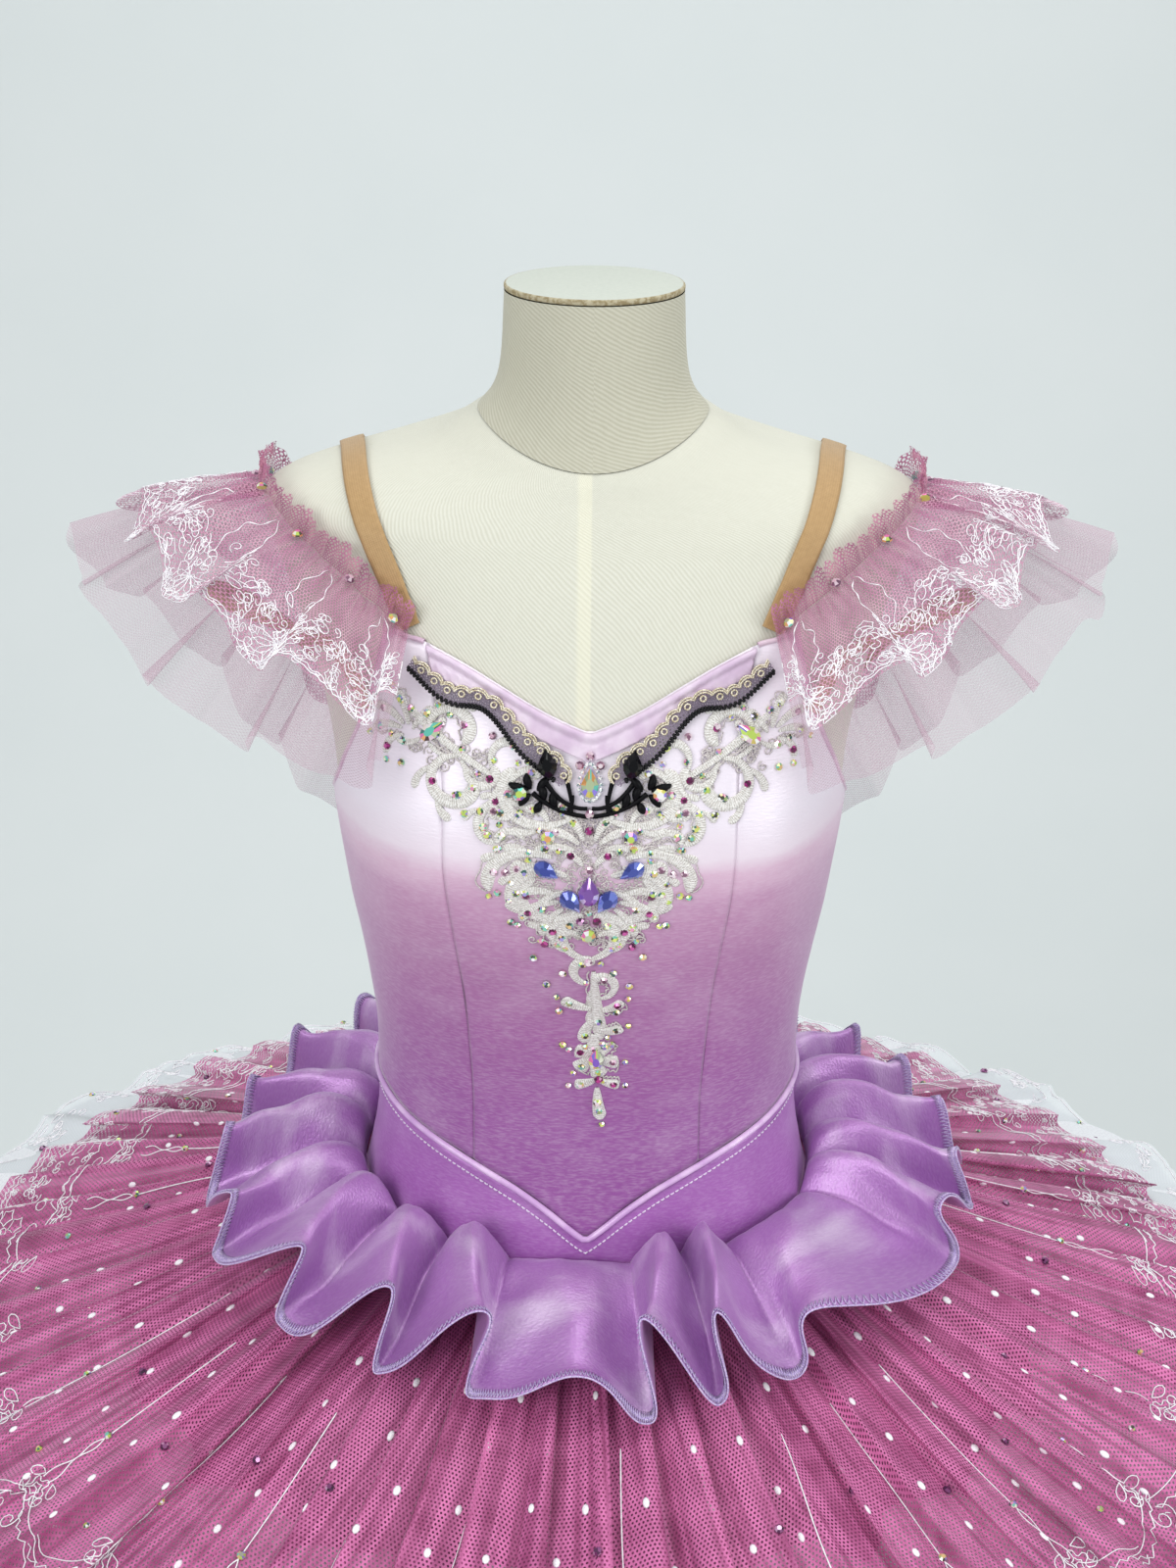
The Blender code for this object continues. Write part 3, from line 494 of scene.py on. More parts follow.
class Threads(Bundle):
    """Fine round threads."""

    def __init__(self, radius: float, sides: int = 4) -> None:
        """Starts an empty bundle of threads of one radius and number of sides."""
        super().__init__()
        self.radius, self.sides = radius, sides

    def lay(self, path: Array, normals: Array, thickness: Array | float = 1.0) -> None:
        """Adds one thread.

        Args:
            path: its centre line.
            normals: the way out of the cloth at each point.
            thickness: its radius there, in shares of the bundle's.
        """
        n, k = len(path), self.sides
        ahead = unit(np.gradient(path, axis=0))
        beside = unit(np.cross(ahead, normals))
        above = np.cross(beside, ahead)
        angle = (np.arange(k) + 0.5) / k * TAU
        radius = (self.radius * np.broadcast_to(thickness, n))[:, None, None]
        rings = path[:, None] + radius * (
            beside[:, None] * np.cos(angle)[None, :, None]
            + above[:, None] * np.sin(angle)[None, :, None])
        r, c = quad_corners(n, k, closed=True)
        self.grow(rings, (r * k + c % k).tolist())


class Ribbons(Bundle):
    """Raised satin-stitch bands, domed and corded at their edges."""

    def __init__(self, columns: int = 7) -> None:
        """Starts an empty set of bands, each with so many points across."""
        super().__init__()
        self.columns = columns
        self.places: list[Array] = []

    def lay(self, path: Array, normals: Array, widths: Array, height: float) -> None:
        """Adds one band.

        Args:
            path: its middle line on the cloth.
            normals: the way out of the cloth at each point.
            widths: half its width there.
            height: how high it stands.
        """
        n, k = len(path), self.columns
        beside = unit(np.cross(unit(np.gradient(path, axis=0)), normals))
        c = np.linspace(-1, 1, k)
        dome = np.sqrt(1 - c ** 2) * 0.8 + 0.35 * np.exp(-(((np.abs(c) - 0.72) / 0.16) ** 2))
        rise = (dome - 0.15) * height * np.minimum(widths[:, None] / (1.6 * MM), 1.0)
        across = c[None, :] * widths[:, None]
        grid = (path[:, None] + beside[:, None] * across[..., None]
                + normals[:, None] * rise[..., None])
        faces_out = np.cross(grid[1, 0] - grid[0, 0], grid[0, -1] - grid[0, 0]) @ normals[0] > 0
        rows, cols = quad_corners(n, k)
        order = (0, 3, 2, 1) if faces_out else (1, 2, 3, 0)
        self.grow(grid, (rows * k + cols)[:, order].tolist())
        flat = np.stack(np.broadcast_arrays(across, travelled(path)[:, None]), -1)
        self.places.append(flat.reshape(-1, 2))

    def finish(self, name: str) -> Object:
        """All bands as one object, with their places along the stitch as its UV map."""
        obj = super().finish(name)
        map_cloth(obj, np.vstack(self.places)[np.array(self.faces)])
        return obj


class Copies(Bundle):
    """Copies of one small modelled shape, each with its own face colours, which can hold painted
    reflections.
    """

    def __init__(self, shape: Object, smooth: bool = False) -> None:
        """Reads the shape's corners and faces and removes it."""
        super().__init__()
        self.smooth = smooth
        self.base = np.array([v.co for v in shape.data.vertices])
        faces = [list(f.vertices) for f in shape.data.polygons]
        # A ball's faces come in another order each time, so they are put in a set one.
        self.base_faces = sorted(faces) if smooth else faces
        self.tints: list[Colour] = []
        bpy.data.objects.remove(shape, do_unlink=True)

    def add(self, place: Array, normal: Array, along: Array, size: Point,
            tints: list[Colour]) -> None:
        """Adds a copy.

        Args:
            place: the middle of its flat back.
            normal: the way that its face looks.
            along: the direction of its length.
            size: its width, length and height.
            tints: colours, dealt to its faces in turn.
        """
        z = unit(np.asarray(normal, float))
        x = unit(np.cross(along, z))
        y = np.cross(z, x)
        self.grow(place + (self.base * size) @ np.stack([x, y, z]), self.base_faces)
        self.tints += [tints[i % len(tints)] for i in range(len(self.base_faces))]

    def finish(self, name: str) -> Object:
        """All copies as one object, with their face colours, painted reflections included, as a
        face attribute.
        """
        obj = super().finish(name)
        tint_and_flash = obj.data.attributes.new("tint_and_flash", "FLOAT_COLOR", "FACE")
        tint_and_flash.data.foreach_set("color", np.array(self.tints, float).reshape(-1))
        return obj


def deselect() -> None:
    """Leaves nothing selected, in object mode."""
    if bpy.context.object and bpy.context.object.mode != "OBJECT":
        bpy.ops.object.mode_set(mode="OBJECT")
    bpy.ops.object.select_all(action="DESELECT")


def settle(obj: Object, name: str) -> Object:
    """Names an operator's object and puts its place, turn and scale into its mesh."""
    obj.name = obj.data.name = name
    deselect()
    obj.select_set(True)
    bpy.context.view_layer.objects.active = obj
    bpy.ops.object.transform_apply(location=True, rotation=True, scale=True)
    deselect()
    return obj


def round_bar(name: str, sides: int, radius: float, low: float, height: float, rounding: float,
              segments: int) -> Object:
    """An upright bar on the form's axis with rounded rims, shaded smooth.

    Args:
        name: of the piece.
        sides: facets round it.
        radius: of the bar.
        low: height of its underside above the floor.
        height: from its underside to its top.
        rounding: radius of its rims.
        segments: facets over each rim.

    Returns:
        The bar.
    """
    deselect()
    bpy.ops.mesh.primitive_cylinder_add(vertices=sides, radius=radius, depth=height,
                                        location=(0, 0, low + height / 2))
    bar = bpy.context.object
    bevel = bar.modifiers.new("rounding", "BEVEL")
    bevel.width, bevel.segments, bevel.limit_method = rounding, segments, "ANGLE"
    bpy.ops.object.modifier_apply(modifier=bevel.name)
    bar.data.shade_smooth()
    return settle(bar, name)


def small_ball(name: str, rings: int) -> Object:
    """A ball 1 across with few faces, for copying."""
    deselect()
    bpy.ops.mesh.primitive_uv_sphere_add(segments=8, ring_count=rings, radius=0.5)
    return settle(bpy.context.object, name)


# ---------------------------------------------------------------- finishes
class Value:
    """An output of a shader node that plain arithmetic works on."""

    def __init__(self, nodes: "Nodes", socket: Socket) -> None:
        """Holds the output and the nodes that it is one of."""
        self.nodes, self.socket = nodes, socket

    def maths(self, operation: str, *others: "Value | float") -> "Value":
        """The result of a maths node on this value and others."""
        return self.nodes.add("Math", dict(enumerate((self, *others))), operation=operation)

    def between(self, low: float, high: float) -> "Value":
        """0 at low, 1 at high and smooth between them."""
        return self.nodes.add("MapRange", {0: self, 1: low, 2: high},
                              interpolation_type="SMOOTHSTEP")

    def __add__(self, other: "Value | float") -> "Value":
        """The sum."""
        return self.maths("ADD", other)

    def __mul__(self, other: "Value | float") -> "Value":
        """The product."""
        return self.maths("MULTIPLY", other)

    def __rsub__(self, other: float) -> "Value":
        """What is left of a number without this value."""
        return self * -1.0 + other


class Nodes:
    """The shader nodes of one material."""

    def __init__(self, tree: Tree) -> None:
        """Starts with an empty tree."""
        tree.nodes.clear()
        self.tree = tree

    def node(self, kind: str, inputs: dict | None = None, **settings: object) -> Node:
        """Adds a shader node.

        Args:
            kind: the node's type name without ShaderNode.
            inputs: values, plain numbers or hex colours by the input's name or number.
            settings: attributes of the node, set before its inputs.

        Returns:
            The node.
        """
        node = self.tree.nodes.new(f"ShaderNode{kind}")
        for name, value in settings.items():
            setattr(node, name, value)
        for key, value in (inputs or {}).items():
            if isinstance(value, Value):
                self.tree.links.new(value.socket, node.inputs[key])
            else:
                node.inputs[key].default_value = linear(value) if isinstance(value, str) else value
        return node

    def add(self, kind: str, inputs: dict | None = None, output: int | str = 0,
            **settings: object) -> Value:
        """Adds a shader node and gives one of its outputs."""
        return Value(self, self.node(kind, inputs, **settings).outputs[output])

    @property
    def in_cloth(self) -> Value:
        """The place in the cloth, in metres."""
        return self.add("UVMap", uv_map="cloth")

    @property
    def in_object(self) -> Value:
        """The place in the object, in metres."""
        return self.add("TexCoord", output="Object")

    def apart(self, where: Value) -> list[Value]:
        """The three coordinates of a place."""
        return [Value(self, part) for part in self.node("SeparateXYZ", {0: where}).outputs]

    def away(self) -> Value:
        """The distance from the upright axis."""
        x, y, _ = self.apart(self.in_object)
        return (x * x + y * y).maths("SQRT")

    def mix(self, share: Value, a: Value | str, b: Value | str) -> Value:
        """The colour a share of the way from a to b."""
        return self.add("Mix", {0: share, 6: a, 7: b}, output=2, data_type="RGBA")

    def noise(self, where: Value, size: float, detail: float = 3.0,
              stretch: Point = (1, 1, 1)) -> Value:
        """Grain with lumps about size metres across, longer along an axis by a number under 1."""
        scaled = self.add("Mapping", {"Vector": where, "Scale": stretch})
        return self.add("TexNoise", {"Vector": scaled, "Scale": 1 / size, "Detail": detail}, "Fac")

    def bump(self, height: Value, distance: float, strength: float) -> Value:
        """A normal raised by a height from 0 to 1 over a distance in metres."""
        return self.add("Bump", {"Height": height, "Distance": distance, "Strength": strength})

    def folds(self, wide: float) -> Value:
        """Painted folds that run out from the upright axis: 0 where the cloth is doubled and
        shaded, 1 on the lit cloth between.
        """
        x, y, _ = self.apart(self.in_object)
        turn, away = x.maths("ARCTAN2", y) * 0.35, self.away() * 0.045
        place = self.add("CombineXYZ", {0: turn, 1: away})
        return self.noise(place, wide).between(0.36, 0.64)

    def gathers(self, far: float) -> Value:
        """Folds of doubled cloth that run out from a gathering line and fade by a distance; a
        finish may paint shade by them.
        """
        where = self.in_cloth
        folds = self.noise(where, 3.2 * MM, 3.0, (1, 0.05, 1)).between(0.40, 0.62)
        return folds * (self.apart(where)[1].between(far, 0.0) * 0.9 + 0.1)

    def surface(self, **inputs: object) -> Value:
        """A Principled shader; an underscore in an input's name stands for a space."""
        return self.add("BsdfPrincipled",
                        {key.replace("_", " "): value for key, value in inputs.items()})

    def veil(self, solid: Value, cloth: Value) -> Value:
        """Cloth of which a share is solid and the rest lets light through."""
        return self.add("MixShader", {0: solid, 1: self.add("BsdfTransparent"), 2: cloth})


@dataclass(frozen=True)
class Finish:
    """What every finish has: a name and a way to fill a node tree."""

    name: str

    def material(self) -> Material:
        """The finish as a material, made once."""
        found = bpy.data.materials.get(self.name)
        if found:
            return found
        made = bpy.data.materials.new(self.name)
        made.use_nodes = True
        nodes = Nodes(made.node_tree)
        nodes.node("OutputMaterial", {"Surface": self.shader(nodes)})
        return made

    def shader(self, nodes: Nodes) -> Value:
        """Adds the finish's nodes and gives the surface shader."""
        raise NotImplementedError(nodes)


@dataclass(frozen=True)
class LinenTwill(Finish):
    """Undyed linen twill, woven with diagonal ribs: a dull cream cloth with fine slanting lines."""

    pale: str = "#DCDCD0"
    dark: str = "#C8C7B7"
    rib_pitch: float = 1.7 * MM
    rib_angle: float = math.radians(-58)
    seam_band: bool = False

    def shader(self, nodes: Nodes) -> Value:
        """Ribs across the cloth, soft mottling and a warm band beside the front seam."""
        where = nodes.in_cloth
        u, v, _ = nodes.apart(where)
        run = (u * (-math.sin(self.rib_angle) / self.rib_pitch)
               + v * (math.cos(self.rib_angle) / self.rib_pitch)
               + nodes.noise(where, 30 * MM) * 2.5)
        rib = (run * TAU).maths("SINE") * 0.5 + 0.5
        shade = nodes.noise(where, 3 * MM, 4.0, (1, 0.4, 1)) * 0.35 + rib * 0.62
        colour = nodes.mix(shade, self.dark, self.pale)
        if self.seam_band:
            x, y, _ = nodes.apart(nodes.in_object)
            band = (x.between(-0.0095, -0.006) * (x * -1.0).between(-0.0005, 0.001)
                    * y.maths("LESS_THAN", 0.0))
            colour = nodes.mix(band * 0.30, colour, "#F3EFD2")
        return nodes.surface(Base_Color=colour, Roughness=0.82, Sheen_Weight=0.12,
                             Normal=nodes.bump(shade, 0.3 * MM, 0.6))


@dataclass(frozen=True)
class WornBoard(Finish):
    """Cloth-covered board of the neck cap: pale on top, with a rim rubbed brown in specks."""

    def shader(self, nodes: Nodes) -> Value:
        """Pale cloth, and rubbed specks on the rim below the top face."""
        specks = nodes.noise(nodes.in_object, 2.2 * MM, 6.0)
        rim = nodes.away().between(CAP_RADIUS - 0.0016, CAP_RADIUS - 0.0006)
        cloth = nodes.mix(specks, "#BCC2B8", "#CBCFC6")
        rubbed = nodes.mix(rim, cloth, "#B5AC90")
        colour = nodes.mix(rim * specks.between(0.40, 0.62), rubbed, "#8E7F5E")
        return nodes.surface(Base_Color=colour, Roughness=0.85,
                             Normal=nodes.bump(specks, 0.2 * MM, 0.5))


@dataclass(frozen=True)
class BrushedSteel(Finish):
    """Brushed steel of the pole and foot: fine streaks that draw the light out."""

    def shader(self, nodes: Nodes) -> Value:
        """Streaked metal, a little darker in patches."""
        streaks = nodes.noise(nodes.in_object, 1.2 * MM, 4.0, (1, 1, 0.03))
        return nodes.surface(Base_Color=nodes.mix(streaks, "#9A9C9E", "#C9CBCC"), Metallic=1.0,
                             Roughness=streaks * 0.22 + 0.26,
                             Normal=nodes.bump(streaks, 0.05 * MM, 0.4))


@dataclass(frozen=True)
class CrushedSatin(Finish):
    """Dyed stretch satin with a brushed face: dull and bright patches where the nap lies over, the
    bright ones painted highlights.
    """

    stops: tuple[tuple[float, str], ...]
    # Colour of the painted highlights, and the sheen's tint.
    light: str
    # How far the brushed patches paint the highlight colour in.
    patches: float
    roughness: float
    sheen: float
    crosswise: float
    # How far the crepe paints small highlights in.
    grain: float
    relief: float
    metallic: float = 0.15
    by_cloth: bool = False
    patch_size: float = 24 * MM
    crepe: float = 1.5 * MM
    coat: float = 0.0

    def lie(self, across: float) -> Point:
        """How grain is stretched across the cloth."""
        return (across, 1 if self.by_cloth else across, 1)

    def shader(self, nodes: Nodes) -> Value:
        """Dip-dyed colour by height, brushed patches and fine crosswise crepe, both also painted in
        as highlights.
        """
        where = nodes.in_object
        cloth = nodes.in_cloth if self.by_cloth else where
        bleed = nodes.noise(where, 28 * MM, 4.0, (0.5, 0.5, 1.6)) * 0.020 + -0.010
        low, span = self.stops[0][0], self.stops[-1][0] - self.stops[0][0]
        height = nodes.apart(where)[2] + bleed + -low
        dye = nodes.add("ValToRGB", {0: height.maths("DIVIDE", span)})
        elements = dye.socket.node.color_ramp.elements
        for _ in self.stops[2:]:
            elements.new(0.5)
        for element, (stop, code) in zip(elements, self.stops):
            element.position, element.color = (stop - low) / span, linear(code)
        crepe = nodes.noise(cloth, self.crepe, 5.0, self.lie(self.crosswise))
        brushed = nodes.noise(cloth, self.patch_size, 6.0, self.lie(0.6))
        # Painted highlights: the brushed patches and the crepe lighten the dye towards the
        # highlight colour.
        bright = brushed.between(0.46, 0.72) * self.patches + crepe.between(0.35, 0.75) * self.grain
        return nodes.surface(
            Base_Color=nodes.mix(bright, dye, self.light), Metallic=self.metallic,
            Roughness=brushed * 0.25 + (self.roughness - 0.12),
            Sheen_Weight=self.sheen, Sheen_Roughness=0.4, Sheen_Tint=self.light,
            Coat_Weight=self.coat, Coat_Roughness=0.36,
            Normal=nodes.bump(brushed * 0.8 + crepe * 0.5, self.relief, 0.7))


@dataclass(frozen=True)
class SmoothSatin(Finish):
    """Satin woven of filament yarn: smooth, with a clear broad gloss."""

    colour: str = "#E6D6E6"
    shade: str = "#CFB6D0"
    roughness: float = 0.30

    def shader(self, nodes: Nodes) -> Value:
        """Fine floats along the cloth over slow changes of tone."""
        slow = nodes.noise(nodes.in_object, 16 * MM).between(0.3, 0.75)
        fine = nodes.noise(nodes.in_object, 0.9 * MM, 2.0, (0.3, 1, 1))
        return nodes.surface(Base_Color=nodes.mix(slow, self.shade, self.colour),
                             Roughness=self.roughness, Sheen_Weight=0.2, Sheen_Roughness=0.35,
                             Normal=nodes.bump(fine, 0.12 * MM, 0.5))


@dataclass(frozen=True)
class HexNet(Finish):
    """Warp-knitted polyester net: threads round six-sided holes, seen through between them."""

    thread: str
    shade: str
    cell: float
    open_from: float
    open_to: float
    gathered: float = 0.0  # how far its gathers, denser and in painted shade, run from its gathering line
    folded: float = 0.0  # width of the folds that run out from the upright axis: doubled cloth in painted shade, with painted highlights between

    def shader(self, nodes: Nodes) -> Value:
        """Three crossed waves cut the holes; doubled cloth closes them in part, and painted shade
        and highlights mark its folds.
        """
        where = nodes.in_cloth
        u, v, _ = nodes.apart(where)
        pace = TAU / (self.cell * math.cos(math.radians(30)))
        waves = []
        for angle in (math.radians(degrees) for degrees in (90, 210, 330)):
            run = u * (pace * math.cos(angle)) + v * (pace * math.sin(angle))
            waves.append(run.maths("COSINE"))
        hole = (waves[0] + waves[1] + waves[2]).between(self.open_from, self.open_to)
        tone = nodes.noise(where, 22 * MM).between(0.3, 0.7)
        # Gathers: doubled cloth closes the holes, and the colour darkens to the shade colour in
        # them as painted shade.
        if self.gathered:
            fold = nodes.gathers(self.gathered)
            tone, hole = tone * (1.0 - fold), hole * (1.0 - fold * 0.38)
        # Folds: painted shade where the cloth is doubled and painted highlights on the single cloth
        # between.
        if self.folded:
            fold = nodes.folds(self.folded)
            tone, hole = tone * 0.35 + fold * 0.65, hole * (fold * 0.35 + 0.65)
        cloth = nodes.surface(Base_Color=nodes.mix(tone, self.shade, self.thread),
                              Roughness=0.55, Sheen_Weight=0.25, Sheen_Roughness=0.4)
        return nodes.veil(1.0 - hole, cloth)


@dataclass(frozen=True)
class UnderNet(Finish):
    """Stiff nylon net stacked in many layers: no daylight comes through, only a meshy face."""

    near: str = "#7C3560"
    far: str = "#EEF0F4"
    turn_from: float = 0.20
    turn_to: float = 0.30

    def shader(self, nodes: Nodes) -> Value:
        """Dyed near the waist and white towards the rim, with the net's mesh as relief."""
        wander = nodes.noise(nodes.in_object, 40 * MM) * 0.03 + -0.015
        dyed = (nodes.away() + wander).between(self.turn_from, self.turn_to)
        mesh = nodes.noise(nodes.in_cloth, 1.6 * MM, 2.0)
        colour = nodes.mix(mesh.between(0.45, 0.62) * 0.22,
                           nodes.mix(dyed, self.near, self.far), "#9C8FA8")
        return nodes.surface(Base_Color=colour, Roughness=0.6, Sheen_Weight=0.2,
                             Normal=nodes.bump(mesh, 0.3 * MM, 0.6))


@dataclass(frozen=True)
class FineTulle(Finish):
    """Soft silk-like tulle, its holes too fine to see one by one: a veil, denser where doubled."""

    colour: str = "#C4A3B4"
    cover: float = 0.30
    gathered: float = 0.0
    cell: float = 1.9 * MM  # the real holes are 1.2 mm wide, drawn wider so that they show

    def shader(self, nodes: Nodes) -> Value:
        """A veil that lets a set share through, with a faint mesh in it."""
        u, v, _ = nodes.apart(nodes.in_cloth)
        pace = TAU / self.cell
        solid = (u * pace).maths("SINE") * (v * pace).maths("SINE") * 0.14 + self.cover
        if self.gathered:
            solid = nodes.gathers(self.gathered) * 0.30 + solid
        return nodes.veil(solid, nodes.surface(Base_Color=self.colour, Roughness=0.6,
                                               Sheen_Weight=0.3, Sheen_Roughness=0.4))


@dataclass(frozen=True)
class ShinyThread(Finish):
    """Twisted rayon thread: bright, with a silky gloss along the twist."""

    colour: str
    shade: str
    # painted glow: emission that makes the thread look more brightly lit
    painted_glow: float = 0.0

    def shader(self, nodes: Nodes) -> Value:
        """Light and shade at the pitch of the twist, and a painted glow that brightens it."""
        ply = nodes.noise(nodes.in_object, 0.9 * MM)
        colour = nodes.mix(ply.between(0.35, 0.65), self.shade, self.colour)
        return nodes.surface(Base_Color=colour, Roughness=0.38, Sheen_Weight=0.3,
                             Sheen_Roughness=0.3, Emission_Color=colour,
                             Emission_Strength=self.painted_glow, Normal=nodes.bump(ply, 0.2 * MM, 0.5))


@dataclass(frozen=True)
class WovenElastic(Finish):
    """Flesh-toned woven elastic: fine ribs along it and tiny cross ridges, faintly glossy."""

    def shader(self, nodes: Nodes) -> Value:
        """Ribs along the strap, cross ridges and a mottle."""
        u, v, _ = nodes.apart(nodes.in_cloth)
        rib = (u * (TAU / (1.3 * MM))).maths("SINE")
        ridge = (v * (TAU / (1.1 * MM))).maths("SINE")
        height = rib * 0.3 + (ridge * 0.2 + 0.5)
        shade = nodes.noise(nodes.in_object, 2.5 * MM, 4.0) * 0.7 + height * 0.3
        return nodes.surface(Base_Color=nodes.mix(shade, "#9C7A4C", "#BF9C6C"), Roughness=0.55,
                             Sheen_Weight=0.15, Normal=nodes.bump(height, 0.2 * MM, 0.6))


@dataclass(frozen=True)
class SatinStitch(Finish):
    """Close satin stitch in ivory rayon: ribs across each leaf, painted light on their crowns and
    dark between them.
    """

    pitch: float = 1.25 * MM

    def shader(self, nodes: Nodes) -> Value:
        """Ribs across the band, uneven as hand-guided stitches are, with painted highlights and
        painted shade.
        """
        where = nodes.in_object
        run = nodes.apart(nodes.in_cloth)[1] * (TAU / self.pitch) + nodes.noise(where, 3 * MM) * 7.0
        fibre = nodes.noise(where, 1.3 * MM).between(0.36, 0.64)
        # Painted highlights and shade: ribs and fibres run from a shaded cream to white, and the
        # same pattern raises the bump.
        light = (run.maths("SINE") * 0.5 + 0.5) * 0.55 + fibre * 0.45
        return nodes.surface(Base_Color=nodes.mix(light, "#C4BEB6", "#FFFEFB"), Roughness=0.42,
                             Sheen_Weight=0.25, Sheen_Roughness=0.3,
                             Normal=nodes.bump(light, 0.55 * MM, 0.8))


@dataclass(frozen=True)
class CutCrystal(Finish):
    """Foil-backed cut crystal: each facet has its own colour, partly the stone's own and partly
    painted flashes.
    """

    painted_glow: float = 0.10

    def shader(self, nodes: Nodes) -> Value:
        """Facet colours under a hard clear surface, with a painted glow of emission in the same
        colours.
        """
        # The facet colours hold painted reflections, and the emission in the same colours is a
        # painted glow.
        tint_and_flash = nodes.add("Attribute", output="Color", attribute_name="tint_and_flash")
        return nodes.surface(Base_Color=tint_and_flash, Roughness=0.08, Metallic=0.45, Coat_Weight=1.0,
                             Coat_Roughness=0.02, Emission_Color=tint_and_flash,
                             Emission_Strength=self.painted_glow)


@dataclass(frozen=True)
class JetGlass(Finish):
    """Black pressed glass and corded black silk: deep black with a small hard glint."""

    roughness: float = 0.16
    gloss: float = 0.3

    def shader(self, nodes: Nodes) -> Value:
        """Nearly black, glossier on its crowns."""
        fine = nodes.noise(nodes.in_object, 0.8 * MM, 2.0)
        return nodes.surface(Base_Color="#040408", Roughness=self.roughness,
                             Specular_IOR_Level=self.gloss,
                             Normal=nodes.bump(fine, 0.08 * MM, 0.4))


@dataclass(frozen=True)
class MetalThread(Finish):
    """Pale gold metal thread wound round a core: glitter broken up by the winding."""

    def shader(self, nodes: Nodes) -> Value:
        """Light and dark turns of the winding."""
        turns = nodes.noise(nodes.in_object, 0.7 * MM)
        colour = nodes.mix(turns.between(0.38, 0.62), "#B3A27E", "#FBF4DE")
        return nodes.surface(Base_Color=colour, Metallic=0.3, Roughness=0.35,
                             Normal=nodes.bump(turns, 0.2 * MM, 0.6))


@dataclass(frozen=True)
class StudioPaper(Finish):
    """Seamless studio paper: matt and even."""

    def shader(self, nodes: Nodes) -> Value:
        """A pale cool grey with hardly any grain."""
        grain = nodes.noise(nodes.in_object, 0.35, 2.0)
        return nodes.surface(Base_Color=nodes.mix(grain, "#DDE3E3", "#E4E8E8"), Roughness=0.95)


